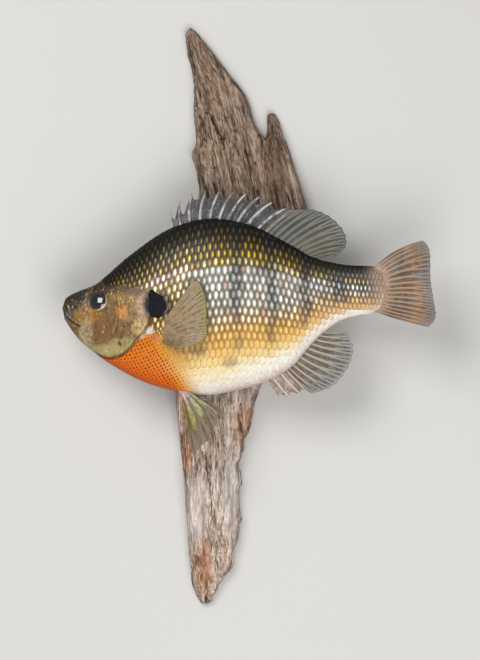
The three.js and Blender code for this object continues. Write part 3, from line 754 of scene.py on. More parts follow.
# ---------------------------------------------------------------- the scales
# Thin horny plates rooted in the skin, each lapping over the ones behind it. They run in rows along
# the lateral line, small on cheek, gill cover, nape and breast and large on the flank.

ALONG_PITCH = stations([(-116, 2.3), (-85, 2.6), (-65, 3.4), (-45, 4.0), (-20, 4.15), (30, 4.15), (70, 3.6),
                        (100, 2.9), (116, 2.5)])
ROW_PITCH = stations([(-116, 2.8), (-85, 3.2), (-65, 4.5), (-45, 5.4), (-15, 5.9), (30, 5.7), (60, 4.9),
                      (90, 4.5), (116, 4.3)])
SMALL_ALONG, SMALL_ROW = 2.45, 2.7
LOWEST_ROW, HIGHEST_ROW = -34, 19
FRONT, REAR, HALF_HEIGHT = 1.15, 0.62, 0.63
REAR_CROWDING, CORNER_POWER = 0.4, 0.85
SCALE_RISE, SCALE_BULGE, ROOT_DIVE = 0.105, 0.018, 0.09
SCALE_SINK = 0.06
BAKE_PATCH = 0.004
FLANK_GRID, SMALL_GRID = (12, 6), (10, 6)
CHEEK = spline(
    [(-84.5, 3), (-80, 3), (-79.6, -10), (-84, -18), (-93, -19.5), (-97, -12), (-92, -4)], 40, closed=True
)

# How far round the form a place lies from the lateral line, as a table that can be read backwards.
TABLE_X = np.linspace(SNOUT_X + 0.1, BODY_END_X - 0.1, 150)
TABLE_ROUND = np.arange(-125.0, 80.0, 1.0)
table_angles = np.radians(np.linspace(-90, 90, 181))
ANGLE_TABLE = []
for station in TABLE_X:
    section = form(np.full(181, station), table_angles)
    around = np.concatenate([[0], np.cumsum(np.linalg.norm(np.diff(section, axis=0), axis=1))])
    line_angle = angle_at(np.array([station]), lateral_line(np.array([station])), -1)
    around -= np.interp(line_angle, table_angles, around)
    ANGLE_TABLE.append(np.interp(TABLE_ROUND, around, table_angles))
ANGLE_TABLE = np.array(ANGLE_TABLE)


def angle_round(x, distance):
    """The angle on the left side at x that lies a distance round the form from the lateral line."""
    i = np.clip((x - TABLE_X[0]) / (TABLE_X[1] - TABLE_X[0]), 0, len(TABLE_X) - 1.001)
    j = np.clip(distance - TABLE_ROUND[0], 0, len(TABLE_ROUND) - 1.001)
    i0, j0 = i.astype(int), j.astype(int)
    fi, fj = i - i0, j - j0
    low = ANGLE_TABLE[i0, j0] * (1 - fj) + ANGLE_TABLE[i0, j0 + 1] * fj
    high = ANGLE_TABLE[i0 + 1, j0] * (1 - fj) + ANGLE_TABLE[i0 + 1, j0 + 1] * fj
    return low * (1 - fi) + high * fi


def lattice(along_pitch, row_pitch):
    """Roots of scales in staggered rows: x, distance round the form, and both pitches at each."""
    ruler = np.linspace(SNOUT_X, BODY_END_X, 2000)
    count = np.concatenate([[0], np.cumsum(np.diff(ruler) / along_pitch(ruler[1:]))])
    roots = []
    for row in range(LOWEST_ROW, HIGHEST_ROW + 1):
        x = np.interp(np.arange(0.5 * (row % 2), count[-1]), count, ruler)
        roots.append(np.stack([x, row * row_pitch(x), along_pitch(x), row_pitch(x)], -1))
    return np.vstack(roots)


def copies(count, segments, rings):
    """A mesh of many unit balls in one, and the points of the first of them."""
    bm = bmesh.new()
    bmesh.ops.create_uvsphere(bm, u_segments=segments, v_segments=rings, radius=1)
    for face in bm.faces:
        face.smooth = True
    plate = bpy.data.meshes.new("plate")
    bm.to_mesh(plate)
    shape = np.array([v.co for v in bm.verts])
    bm.clear()
    for _ in range(count):
        bm.from_mesh(plate)
    return mesh_of(bm, "scales"), shape


def scale_mesh(roots, side, grid):
    """Plates for all roots joined in one mesh, bent to the form and lapping towards the tail."""
    mesh, shape = copies(len(roots), *grid)
    spread = np.hypot(shape[:, 0], shape[:, 1])
    turn = np.arctan2(shape[:, 1], shape[:, 0])
    turn = turn - REAR_CROWDING * np.sin(turn)
    along = np.cos(turn)
    along *= np.where(along > 0, REAR, FRONT) * spread
    over = np.sign(np.sin(turn)) * np.abs(np.sin(turn)) ** CORNER_POWER * HALF_HEIGHT * spread
    x0, round0, along_pitch, row_pitch = (column[:, None] for column in roots.T)
    angle0 = angle_round(x0, round0)
    z0 = form(x0, angle0)[..., 2]
    ahead, behind = (form(x0 + way, angle_round(x0 + way, round0)) for way in (0.5, -0.5))
    stride = np.linalg.norm(ahead - behind, axis=-1)
    chance = np.random.default_rng(7).random((len(roots), 3))
    x = x0 + along * along_pitch / np.maximum(stride, 0.5)
    angle = angle_round(x, round0 + over * row_pitch)
    z = form(x, angle)[..., 2]
    share, head = height_share(x0, z0), head_share(x0, z0)
    lift = SCALE_RISE * (along + FRONT * 0.9) / (FRONT + REAR) - ROOT_DIVE * smoothstep(-0.5, -FRONT, along)
    lift = lift * (0.9 + 0.2 * chance[:, :1]) * along_pitch * (0.14 + 0.86 * smoothstep(0.15, 0.6, share))
    dome = np.where(shape[:, 2] > 0, 1, -1) * np.sqrt(np.maximum(1 - spread**2, 0))
    lift = lift * (1 - 0.7 * head) + SCALE_BULGE * along_pitch * dome
    out = relief(x, z) - skin_depth(x) + lift - SCALE_SINK
    if side > 0:
        angle, angle0 = math.pi - angle, math.pi - angle0
        mesh.flip_normals()
    mesh.vertices.foreach_set("co", (on_form(x, angle, out) * MM).ravel().astype(np.float32))

    for key, values in {"height_share": share, "chance": chance[:, 1:2], "head": head}.items():
        values = np.repeat(values, len(shape), 1).ravel().astype(np.float32)
        mesh.attributes.new(key, "FLOAT", "POINT").data.foreach_set("value", values)
    corner = np.zeros(len(mesh.loops), np.int64)
    mesh.loops.foreach_get("vertex_index", corner)
    skin_u = np.interp(x0, *reversed(list(zip(*COLUMN_PLACES))))
    skin_v = (angle0 / math.pi + 1) / 2
    skin_v = np.where(skin_v > 1, skin_v - 1, skin_v)
    maps = {
        "OFBake": (skin_u + BAKE_PATCH * spread, skin_v + BAKE_PATCH * (turn / (2 * math.pi) + 0.5)),
        "plate": (along + 0 * x0, over + 0 * x0),
    }
    for key, (u, v) in maps.items():
        uv = np.stack([u.ravel()[corner], v.ravel()[corner]], -1).astype(np.float32)
        mesh.uv_layers.new(name=key).data.foreach_set("uv", uv.ravel())
    mesh.update()
    return mesh


scale_finish, tree, shader = material(
    "pearly scales", Coat_Weight=0.17, Coat_Roughness=0.16, Specular_IOR_Level=0.18
)
chance, head = field(tree, "chance"), field(tree, "head")
here, marked, on_head = dressed(tree, chance)
show = marked["Show"]
plate_place = Signal(node(tree, "ShaderNodeUVMap", {}, uv_map="plate").outputs[0])
plate_x, plate_z, _ = apart(plate_place)
slim = ease(field(tree, "height_share"), 0.92, 1.3, 1.0, 1.5)
second_chance, third_chance = maths("FRACT", chance * 17.3), maths("FRACT", chance * 41.7)
reach = (plate_x - ease(second_chance, 0.0, 1.0, 0.08, 0.2)) / 0.225 * slim
rise = (plate_z - ease(third_chance, 0.0, 1.0, -0.05, 0.05)) / 0.36
ragged = cloud(here, 0.8, 3) * 0.9 + ease(chance, 0.0, 1.0, 0.35, 0.75)
away = length(reach, rise) * ragged
glow = ease(second_chance, 0.0, 0.9, 0.7, 1.0) * ease(cloud(here, 0.12, 2), 0.34, 0.54, 0.78, 1.0)
bright = (ease(away, 1.6, 0.5, 0.0, 0.3) + ease(away, 1.12, 0.5, 0.0, 0.7)) * glow * show
ground = blend(ease(away, 1.3, 2.4, 0.0, 0.5) * show, marked["Ground"], (34, 31, 26))
dot = ease(length((plate_x - 0.08) / 0.3, plate_z / 0.34), 1.25, 0.5, 0.0, 0.9)
dot = dot * marked["Dots"] * ease(second_chance, 0.0, 0.5, 0.45, 1.0)
ground = blend(dot, ground, (58, 20, 8))
ribs = {"Vector": plate_place, "Scale": 3.2, "Distortion": 1.5, "Detail": 1.0}
ribs = step("ShaderNodeTexWave", ribs, "Fac", wave_type="BANDS", bands_direction="Y")
connect(shader, {
    "Base Color": blend(head, blend(bright, ground, marked["Fleck"]), on_head),
    "Metallic": bright * 0.3 * (1 - head), "Roughness": ease(bright, 0.0, 1.0, 0.42, 0.26),
    "Normal": grained(cloud(here, 2.2, 2) * 0.8 + ribs, 0.35, 0.08),
})

large = lattice(ALONG_PITCH, ROW_PITCH)
small = lattice(lambda x: SMALL_ALONG + 0 * x, lambda x: SMALL_ROW + 0 * x)
KINDS = [("flank", large, FLANK_GRID), ("breast", small, SMALL_GRID), ("face", small, SMALL_GRID)]
for side, name in ((-1, "left"), (1, "right")):
    for kind, roots, grid in KINDS:
        x = roots[:, 0]
        angle = angle_round(x, roots[:, 1])
        z = form(x, angle)[:, 2]
        on_body = (np.abs(angle) < math.radians(88)) & (outline_distance(x, z, HEAD_OUTLINE) >= 0.8)
        on_breast = (x + 0.52 * z < -46) & (z < -13)
        if kind == "flank":
            keep = on_body & ~on_breast & (x < 112) & (x > -90)
        elif kind == "breast":
            keep = on_body & on_breast & (x > -99)
        else:
            worn = 1.6 * np.random.default_rng(11).random(len(x))
            keep = outline_distance(x, z, CHEEK) < -worn
            keep |= (outline_distance(x, z, GILL_COVER) < -0.9 - worn) & (x > -75.2) & (z < 18)
        piece_of(f"scales_{kind}_{name}", scale_mesh(roots[keep], side, grid), scale_finish, "fish_skin")

# ---------------------------------------------------------------- the eyes and ear flaps
# Glass eyes, lens-shaped and painted behind, set in the sockets under a fold of skin. The ear flap is
# the soft black tab at the rear corner of each gill cover, lying free on the shoulder.

EYELID_RADIUS, EYELID_FOLD, EYELID_OUT = 6.95, 0.5, 0.15
GAZE = (-0.82, -0.57)
EAR_FLAP = spline(
    [(-53.4, 13.4), (-47.5, 11.6), (-40.6, 5.4), (-41.4, -1.4), (-47.4, -5.4), (-53, -2.6)], 60, closed=True
)
FLAP_MIDDLE = (-47.5, 4.2)
FLAP_OUT, FLAP_HALF = 0.95, 0.5

eye_finish, tree, shader = material(
    "painted glass", Roughness=0.06, Coat_Weight=1.0, Coat_Roughness=0.02, Specular_IOR_Level=0.7
)
ring, rearward = field(tree, "ring"), field(tree, "rearward")
iris = blend(ease(ring, 0.5, 0.56), (4, 4, 6), (26, 20, 22))
fibres = ease(cloud(millimetres(tree), 1.6, 3), 0.45, 0.7, 0, 0.5)
iris = blend(ease(ring, 0.55, 0.7) * fibres, iris, (70, 46, 34))
crescent = ease(ring, 0.8, 0.87) * ease(rearward, 0.2, 0.65)
connect(shader, {"Base Color": blend(crescent, iris, (194, 170, 122))})

flap_finish, tree, shader = material("soft black skin", Roughness=0.6, Specular_IOR_Level=0.14)
here = millimetres(tree)
black = blend(ease(cloud(here, 0.5, 3), 0.35, 0.7), (4, 4, 7), (15, 16, 26))
colour = blend(ease(field(tree, "rim"), 0.82, 0.97, 0.0, 0.6), black, (150, 146, 136))
connect(shader, {"Base Color": colour, "Normal": grained(cloud(here, 1.2, 3), 0.5, 0.2)})

for side, name in ((-1, "left"), (1, "right")):
    centre, facing, ahead, up = eye_place(side)

    def round_eye(u):
        turn = 2 * math.pi * u
        return np.cos(turn)[:, None] * ahead + np.sin(turn)[:, None] * up

    def place_eye(u, v):
        polar = math.pi * v
        flat = np.sin(polar)[:, None] * round_eye(u)
        points = centre + EYE["radius"] * flat + (EYE["depth"] * np.cos(polar))[:, None] * facing
        away = flat @ ahead * GAZE[0] + flat @ up * GAZE[1]
        return points, {"ring": np.sin(polar), "rearward": away}

    def place_eyelid(u, v):
        around = 2 * math.pi * v
        points = centre + (EYELID_RADIUS + EYELID_FOLD * np.cos(around))[:, None] * round_eye(u)
        angle = angle_at(points[:, 0], points[:, 2], side)
        lift = EYELID_FOLD * (0.9 * np.sin(around) + 0.1) + EYELID_OUT
        fields = {"height_share": 1 + 0 * u, "head": 1 + 0 * u, "crease_shade": 0 * u}
        return on_form(points[:, 0], angle, lift), fields

    def place_flap(u, v):
        away = 1 - np.abs(2 * v - 1)
        frayed = 1 + 0.025 * np.sin(10 * math.pi * u) + 0.02 * np.sin(26 * math.pi * u)
        edge = EAR_FLAP[np.round(u * len(EAR_FLAP)).astype(int) % len(EAR_FLAP)]
        x, z = (FLAP_MIDDLE + (edge - FLAP_MIDDLE) * (away * frayed)[:, None]).T
        half = FLAP_HALF * np.sqrt(1 - away**4) * np.where(v < 0.5, 1, -1)
        rearward = smoothstep(-1, 5, x - FLAP_MIDDLE[0])
        return on_form(x, angle_at(x, z, side), FLAP_OUT + half), {"rim": away * rearward}

    eye, lid = laid("eye", 64, 40, place_eye), laid("eyelid", 96, 12, place_eyelid)
    flap = laid("ear_flap", 60, 28, place_flap)
    piece_of(f"glass_eye_{name}", eye, eye_finish, "eye_glass", f"eye_{name}")
    piece_of(f"eyelid_{name}", lid, skin_finish, "fish_skin")
    piece_of(f"soft_ear_flap_{name}", flap, flap_finish, "ear_flap", f"ear_flap_{name}")

# ---------------------------------------------------------------- the fins
# The real fins, dried and spread and then coated: thin skin webs between jointed, branching rays.
# Back and anal fins begin with hard spines. Each fin is one closed sheet rooted inside the body.

WEB_HALF = 0.13
END_MARGIN = 0.16
GATHER = 0.62
TIP_ROUNDING, ROOT_ROUNDING = 0.035, 0.03
FORKS = [(0.25, 0.3, 1.0), (0.11, 0.62, 1.1)]
ROOT_DEPTH = 3


def fan(root, edge, count, bow=0.0):
    """Root and tip of every ray of a fin, and how far each bends backwards in parts of its length."""
    place = np.linspace(0, 1, count)
    bows = bow(place) if callable(bow) else np.full(count, bow)
    return {"root": spline(root, count), "tip": spline(edge, count), "bow": bows[:, None]}


def joined(first, second):
    return {key: np.concatenate([first[key], second[key]]) for key in first}


def rounded(share):
    """Half of a sheet's thickness towards an edge, as a share goes from 0 to 1 at the edge."""
    return np.sqrt(1 - np.clip(share, 0, 1) ** 2)


def fin_mesh(name, rays, surface, notch, thick, branch, flesh, per_ray, rows, wave):
    """A fin from its rays. thick, branch and notch give one value for each ray, flesh one for the root."""
    count = len(rays["root"])
    thick, branch, notch = (
        np.broadcast_to(np.asarray(value, float), count) for value in (thick, branch, notch)
    )

    def place(u, v):
        c = -END_MARGIN + (1 - np.abs(2 * u - 1)) * (count - 1 + 2 * END_MARGIN)
        inner = np.clip(c, 0, count - 1)
        c = np.where(c == inner, c - GATHER * np.sin(2 * math.pi * c) / (2 * math.pi), c)
        near = np.clip(np.round(c), 0, count - 1).astype(int)
        before = np.clip(np.floor(c).astype(int), 0, count - 2)
        gap = np.clip(c - before, 0, 1)
        t = v * (1 - notch[before] * np.sin(math.pi * gap**0.85))
        beside = [np.clip(before + k, 0, count - 1) for k in (-1, 0, 1, 2)]
        root, tip, bow = (
            through(*(rays[key][i] for i in beside), (c - before)[:, None]) for key in ("root", "tip", "bow")
        )
        along = t[:, None]
        flat = root + (tip - root) * along
        aside = np.stack([root[:, 1] - tip[:, 1], tip[:, 0] - root[:, 0]], -1)
        x, z = (flat + bow * 4 * along * (1 - along) * aside).T

        soft = branch[near]
        first, second = (spread * smoothstep(start, end, t) * soft for spread, start, end in FORKS)
        width = np.where(soft, 0.15 - 0.085 * t, 0.095 - 0.055 * t)
        rod = sum(bump(c - near - a * first - b * second, width) for a in (-1, 1) for b in (-1, 1))
        rod = np.minimum(rod, 1)
        half = WEB_HALF + thick[near] * (1 - 0.72 * t) * rod + flesh * smoothstep(0.42, 0.02, t)
        half = half * rounded((v - 1 + TIP_ROUNDING) / TIP_ROUNDING) * rounded(1 - v / ROOT_ROUNDING)
        half = half * rounded(np.maximum(-c, c - (count - 1)) / END_MARGIN)
        y = surface(x, t) + wave * t * np.sin(0.9 * c + 1.5 * t) + np.where(u < 0.5, -half, half)
        return np.stack([x, y, z], -1), {"rod": rod, "along": t, "ray": c}

    return laid(name, 2 * per_ray * (count - 1), rows, place)


# The surface that all fins share: jointed rays standing out of a thin, veined, speckled web.
membrane, given, result = group_of(
    "fin membrane",
    {"Place": VECTOR, "Rod": FLOAT, "Ray": FLOAT, "Along": FLOAT, "Ray tint": COLOUR, "Web tint": COLOUR,
     "Edge tint": COLOUR},
    {"Colour": COLOUR, "Height": FLOAT},
)
rod, along, ray_tint, web_tint = (given[key] for key in ("Rod", "Along", "Ray tint", "Web tint"))
veins = cloud(given["Place"], 1.1, 3, 0.6)
web = tinted(ease(cloud(given["Place"], 0.3, 4, 0.6), 0.36, 0.62, 0.0, 0.8), web_tint, (158, 152, 146))
web = blend(ease(veins, 0.52, 0.68, 0.0, 0.42), web, ray_tint)
fibres = cloud(step("ShaderNodeCombineXYZ", {0: given["Ray"], 1: along}), 1.0, 3, 0.6, stretch=(5.5, 3.2, 1))
web = blend(ease(fibres, 0.54, 0.7, 0.0, 0.5), web, ray_tint)
web = blend(ease(fibres, 0.46, 0.3, 0.0, 0.5), web, (38, 34, 32))
joints = ease(maths("SINE", along * 210), 0.2, 0.9) * rod
colour = blend(ease(rod, 0.25, 0.75), web, blend(joints * 0.22, ray_tint, web_tint))
shade = ease(rod, 0.02, 0.2) * ease(rod, 0.5, 0.2)
colour = blend(shade * 0.22, colour, (40, 34, 30))
colour = blend(ease(along, 0.9, 1.0, 0.0, 0.7), colour, given["Edge tint"])
connect(result, {"Colour": colour, "Height": joints * -0.35 + fibres * 0.8 + veins})


def fin_finish(name, tints, alpha=None):
    """A fin's material. tints(here, ray, along) gives its ray, web and edge colours."""
    finish, tree, shader = material(
        name, Roughness=0.42, Coat_Weight=0.25, Coat_Roughness=0.2, Specular_IOR_Level=0.3
    )
    here, rod, ray, along = millimetres(tree), field(tree, "rod"), field(tree, "ray"), field(tree, "along")
    ray_tint, web_tint, edge_tint = tints(here, ray, along)
    web = used(tree, membrane, {"Place": here, "Rod": rod, "Ray": ray, "Along": along, "Ray tint": ray_tint,
                                "Web tint": web_tint, "Edge tint": edge_tint})
    connect(shader, {"Base Color": web["Colour"], "Normal": grained(web["Height"], 0.5, 0.12)})
    if alpha:
        connect(shader, {"Alpha": alpha(rod, ray, along)})
    return finish


def in_plane(x, t):
    return midline(x)


SPINES = fan([(-35.6, 57), (-31, 58.5), (-24.4, 60), (-17.5, 61), (-11, 61.5), (-4.5, 61.5), (1.5, 61),
              (8, 59.5), (14.5, 57.8), (21.5, 55)],
             [(-38.2, 71.6), (-31.6, 78.4), (-23.2, 83), (-13.2, 85), (-3, 85.4), (6.5, 84.6), (15.5, 83.2),
              (25, 80.8), (34.5, 77), (44, 72.4)], 10, 0.07)
SOFT_RAYS = fan([(27, 52.4), (40, 46), (51, 39.5), (60.5, 34.5)],
                [(50, 71.4), (64, 71), (76, 65.4), (85, 55), (85.8, 45), (79.4, 38.4)], 12, 0.05)
DORSAL_NOTCHES = [0.6] * 2 + [0.26] * 7 + [0.02] * 13
dorsal_spiny = np.arange(22) < 10


def dorsal_tints(here, ray, along):
    soft = ease(ray, 9.2, 10.4)
    spines = blend(ease(cloud(here, 0.14, 3, 0.6), 0.42, 0.58), (104, 98, 92), (172, 170, 174))
    web = blend(ease(along, 0.05, 0.5), (42, 40, 34), (64, 62, 64))
    softer = blend(ease(ray, 12.5, 17.0) * ease(along, 0.9, 0.6), (52, 50, 45), (72, 63, 30))
    return blend(soft, spines, (92, 92, 82)), blend(soft, web, softer), (92, 94, 90)


def dorsal_alpha(rod, ray, along):
    thin = ease(along, 0.25, 0.6) * ease(rod, 0.6, 0.1)
    return 1 - thin * ease(ray, 10.0, 8.0, 0.08, 0.32)


piece_of(
    "dorsal_fin_rayed",
    fin_mesh("dorsal_fin", joined(SPINES, SOFT_RAYS), in_plane, DORSAL_NOTCHES,
             np.where(dorsal_spiny, 0.45, 0.3), ~dorsal_spiny, 0.9, 20, 44, 0.5),
    fin_finish("dorsal fin skin", dorsal_tints, dorsal_alpha), "fin", "dorsal_fin_spiny", "dorsal_fin_soft",
)

ANAL_SPINES = fan([(29, -47), (33, -46), (38, -43)], [(38.8, -62.8), (46.5, -62.6), (55, -60.6)], 3, -0.03)
ANAL_RAYS = fan([(41.5, -40), (50, -34), (58, -24), (65, -15.5)],
                [(62.5, -59.4), (76.7, -54), (87.4, -41), (91.2, -27), (86.6, -16)], 11, -0.04)
anal_spiny = np.arange(14) < 3


def anal_tints(here, ray, along):
    soft = ease(ray, 2.0, 3.4)
    rays = blend(soft, (196, 178, 164), blend(ease(along, 0.3, 1.0), (158, 144, 120), (124, 122, 116)))
    web = blend(ease(along, 0.15, 0.75), (88, 70, 58), (98, 97, 95))
    return rays, blend(soft, (150, 132, 120), web), (150, 150, 146)


piece_of(
    "anal_fin_rayed",
    fin_mesh("anal_fin", joined(ANAL_SPINES, ANAL_RAYS), in_plane, np.where(anal_spiny, 0.22, 0.025),
             np.where(anal_spiny, 0.8, 0.42), ~anal_spiny, 0.9, 20, 44, 0.5),
    fin_finish("anal fin skin", anal_tints), "fin", "anal_fin",
)

TAIL_RAYS = fan([(104, 28.6), (110, 24), (112, 14.5), (110, 5), (104, -0.6)],
                [(140.6, 49.2), (145.2, 42), (145.8, 22), (147.8, 8), (149.4, -5), (144.6, -12)], 17,
                lambda t: 0.08 - 0.1 * t)


def tail_tints(here, ray, along):
    x, _, z = apart(here)
    warm = blend(ease(cloud(here, 0.09, 2), 0.4, 0.62), (126, 100, 74), (136, 96, 58))
    grey = ease(along, 0.68, 0.94)
    rays = blend(grey * 0.6, blend(0.2, warm, (196, 182, 160)), (112, 108, 102))
    web = blend(ease(along, 0.14, 0.28) * ease(along, 0.74, 0.45) * 0.66, warm, (70, 56, 47))
    web = blend(ease(along, 0.2, 0.08), web, PEACH)
    web = blend(grey * 0.7, web, (92, 90, 90))
    # Painted highlight: a bluish patch of reflected light on the web near the middle of the trailing edge.
    return rays, blend(spot(x, z, (139, 25), (5, 3.5)) * 0.65, web, (100, 114, 148)), (112, 110, 110)


piece_of(
    "caudal_fin_rayed",
    fin_mesh("caudal_fin", TAIL_RAYS, in_plane, 0.012, 0.27, 1, 1.7, 16, 52, 0.7),
    fin_finish("tail fin skin", tail_tints), "fin", "caudal_fin",
)


def off_body(side, root, flare):
    """The surface of a paired fin: rooted in the flesh and standing further off towards its tips."""
    x, z = (np.array([value]) for value in root[len(root) // 2])
    start = form(x, angle_at(x, z, side))[0, 1]
    return lambda x, t: start + side * (flare * t * (1.6 - 0.6 * t) - ROOT_DEPTH * (1 - t) ** 3)


def pectoral_tints(here, ray, along):
    tan = blend(ease(along, 0.0, 0.35), (168, 120, 83), (152, 128, 93))
    rays = blend(ease(ray, 5.0, 9.0), (142, 124, 95), (130, 112, 84))
    rear = ease(along, 0.78, 0.97) * ease(ray, 1.5, 4.0)
    web = blend(rear, blend(0.1, tan, (108, 90, 64)), (124, 111, 56))
    return blend(rear * 0.6, rays, (140, 126, 68)), web, (120, 108, 63)


def pelvic_tints(here, ray, along):
    pink, rear, low = ease(ray, 0.7, 0.2), ease(ray, 3.2, 4.6), ease(along, 0.5, 0.85)
    rays = blend(low, blend(ease(along, 0.05, 0.2), (170, 140, 126), (78, 68, 30)), (112, 96, 74))
    rays = blend(rear, rays, (186, 180, 162))
    green = blend(ease(ray, 1.2, 3.2), (150, 138, 52), (176, 166, 112))
    web = blend(ease(along, 0.1, 0.35), (186, 160, 156), green)
    web = blend(low, web, (118, 102, 84))
    web = blend(rear, web, (184, 180, 162))
    return blend(pink, rays, (214, 174, 166)), blend(pink * 0.7, web, (196, 158, 148)), (128, 116, 100)


def pelvic_alpha(rod, ray, along):
    return ease(ease(along, 0.4, 0.8) * ease(rod, 0.6, 0.1), 0.0, 1.0, 1.0, 0.5)


# Of each kind: ray count, notches, bow, thickness and branching of the rays, columns to a ray, finish.
PECTORAL = (15, 0.012, 0, 0.24, 1, 16, fin_finish("pectoral fin skin", pectoral_tints))
pelvic_finish = fin_finish("pelvic fin skin", pelvic_tints, pelvic_alpha)
PELVIC = (6, 0.05, 0.03, [0.7] + [0.36] * 5, [0] + [1] * 5, 26, pelvic_finish)
PECTORAL_ROOT = [(-46.5, -11.5), (-46, -17.5), (-45, -23.4)]
PAIRED = [
    ("pectoral_fin_left", -1, PECTORAL, 9, PECTORAL_ROOT,
     [(-22.4, 21), (-17.6, 20), (-13.2, 8), (-12.4, -8), (-12.8, -18.6), (-22, -24.6), (-34, -27)]),
    ("pectoral_fin_right", 1, PECTORAL, 10.6, PECTORAL_ROOT,
     [(-34.4, 21.6), (-31.2, 19), (-30, 10), (-30.2, 0), (-31.6, -10), (-33.6, -19), (-37.6, -26)]),
    ("pelvic_fin_left", -1, PELVIC, 7, [(-33.2, -56), (-29.5, -57), (-25.4, -58)],
     [(-32.4, -79), (-22, -102.4), (-12.4, -92), (-5.4, -80.6), (-5.4, -73), (-13, -67.6)]),
    ("pelvic_fin_right", 1, PELVIC, 4, [(-28.6, -56.5), (-26, -57.4), (-22.8, -58)],
     [(-19, -80), (-13, -94), (-8.4, -84), (-5.4, -74), (-5.6, -68.6), (-9.6, -65.6)]),
]
for name, side, kind, flare, root, edge in PAIRED:
    count, notch, bow, thick, branch, per_ray, finish = kind
    rays = fan(root, edge, count, bow)
    mesh = fin_mesh(name, rays, off_body(side, root, flare), notch, thick, branch, 1.0, per_ray, 44, 0.35)
    piece_of(f"{name}_rayed", mesh, finish, "fin", name)

# ---------------------------------------------------------------- the driftwood
# A splinter of weathered softwood with a short prong beside it, sawn flat behind. Wind and water have
# eaten the soft grain into grooves and left the hard grain standing. The fish sits on a flat cut.

SPLINTER = {
    "left": [(-210, -15.4), (-204, -20), (-195, -23.5), (-150, -27), (-112, -30.2), (-86, -32.8), (-60, -35),
             (0, -28), (84, -18.8), (104, -22), (112, -23.8), (117, -20.7), (132, -21.6), (166, -22.8),
             (182, -26.6), (197, -28), (201, -26.4)],
    "right": [(-210, -13.2), (-206, -9.6), (-193, -2.6), (-181, 6.2), (-175, 5.8), (-163, 9.9), (-140, 10.6),
              (-117, 12), (-110, 11), (-97, 14), (-71, 21.3), (-40, 22), (60, 30), (121, 29.4), (125, 26),
              (130, 22.4), (141, 18.6), (152, 15), (172, -0.4), (186, -10.4), (201, -23.4)],
    "depth": [(-210, 5), (-190, 10), (-140, 17), (-70, 22.5), (0, 24), (70, 22.5), (130, 17), (180, 11),
              (201, 5)],
    "phase": 0,
}
PRONG = {
    "left": [(-66, 12), (0, 10), (80, 20), (118, 26), (124.5, 29.4), (138, 30.2), (140.2, 31.6)],
    "right": [(-66, 21.6), (-20, 36), (40, 55), (71, 58.2), (77, 57.2), (101, 49.6), (119, 43.2),
              (132, 38.8), (140.2, 35)],
    "depth": [(-66, 16), (0, 23), (71, 20), (110, 15), (140.2, 6)],
    "phase": 2.1,
}
SECTION = [
    (0.0, 0.35), (0.1, 0.74), (0.25, 0.95), (0.4, 0.84), (0.58, 1.0), (0.78, 0.84), (0.93, 0.74), (1.0, 0.3),
]
FRONT_SHARE, BACK_SHARE = 0.86, 0.14
BEHIND_WALL = 4
VOXEL = 0.85
BACK_WASTE = ((-200, 0, -300), (200, 60, 300))
SEAT_WASTE = ((-60, -80, -46), (80, -23.5, 44))
SCREW_PLACES = {"mounting_screw_upper": (-13, 15), "mounting_screw_lower": (7, -13)}
SCREW_SEAT_Y = -4
BORE, COUNTERBORE, COUNTERBORE_Y = 2.35, 4.8, SCREW_SEAT_Y - 0.3
GRAIN_LEAN, GRAIN_LEAN_Z, GRAIN_LEAN_EASE, GRAIN_WANDER = 0.3, 50, 30, 7


def splinter_mesh(name, wood):
    """A rough splinter between its side lines: ridged in front, flat behind and chipped low down."""
    edges = [stations(wood[key]) for key in ("left", "right", "depth")]
    low, high = wood["left"][0][0], wood["left"][-1][0]
    across, deep = np.array(SECTION).T
    places = range(len(SECTION))

    def place(u, v):
        z = low + (high - low) * v
        left, right, thick = (edge(z) for edge in edges)
        chipped = np.array([noise.noise(Vector((1.7, 0.3, height * 0.16))) for height in z])
        worn = 2.2 * np.round(chipped * 4) / 4 * smoothstep(-60, -110, z)
        s = np.clip(u / FRONT_SHARE, 0, 1) * places[-1]
        out = np.interp(s, places, deep)
        ridge = 1 + 0.09 * np.sin(0.055 * z + 1.7 * (s + 1) + wood["phase"]) * (out > 0.5)
        x = left + (right - left + worn) * np.interp(s, places, across)
        y = -thick * out * ridge
        behind = u > FRONT_SHARE
        x = np.where(behind, right + worn + (left - right - worn) * (u - FRONT_SHARE) / BACK_SHARE, x)
        y = np.where(behind | (s <= 0) | (s >= places[-1]), BEHIND_WALL, y)
        closing = np.minimum(v, 1 - v) * (high - low) < 0.01
        x = np.where(closing, (left + right) / 2, x)
        y = np.where(closing, -thick / 2, y)
        return np.stack([x, y, z], -1), {}

    return laid(name, 60, 200, place)


def applied(made, name):
    """The mesh of an object with its modifiers applied."""
    bpy.context.view_layer.update()
    mesh = bpy.data.meshes.new_from_object(made.evaluated_get(bpy.context.evaluated_depsgraph_get()))
    mesh.name = name
    bpy.data.objects.remove(made)
    return mesh


def turned(profile, place, segments=48):
    """A turned shape whose axis runs along y, from (radius, y) points in order of y."""
    bm = bmesh.new()
    verts = [bm.verts.new(Vector((radius, y, 0)) * MM) for radius, y in profile]
    outline = [bm.edges.new(pair) for pair in zip(verts[:-1], verts[1:])]
    bmesh.ops.spin(bm, geom=verts + outline, axis=(0, 1, 0), cent=(0, 0, 0), steps=segments,
                   angle=2 * math.pi, use_merge=True)
    bmesh.ops.remove_doubles(bm, verts=bm.verts, dist=0.001 * MM)
    bmesh.ops.recalc_face_normals(bm, faces=bm.faces)
    bmesh.ops.translate(bm, verts=bm.verts, vec=Vector((place[0], 0, place[1])) * MM)
    return bm


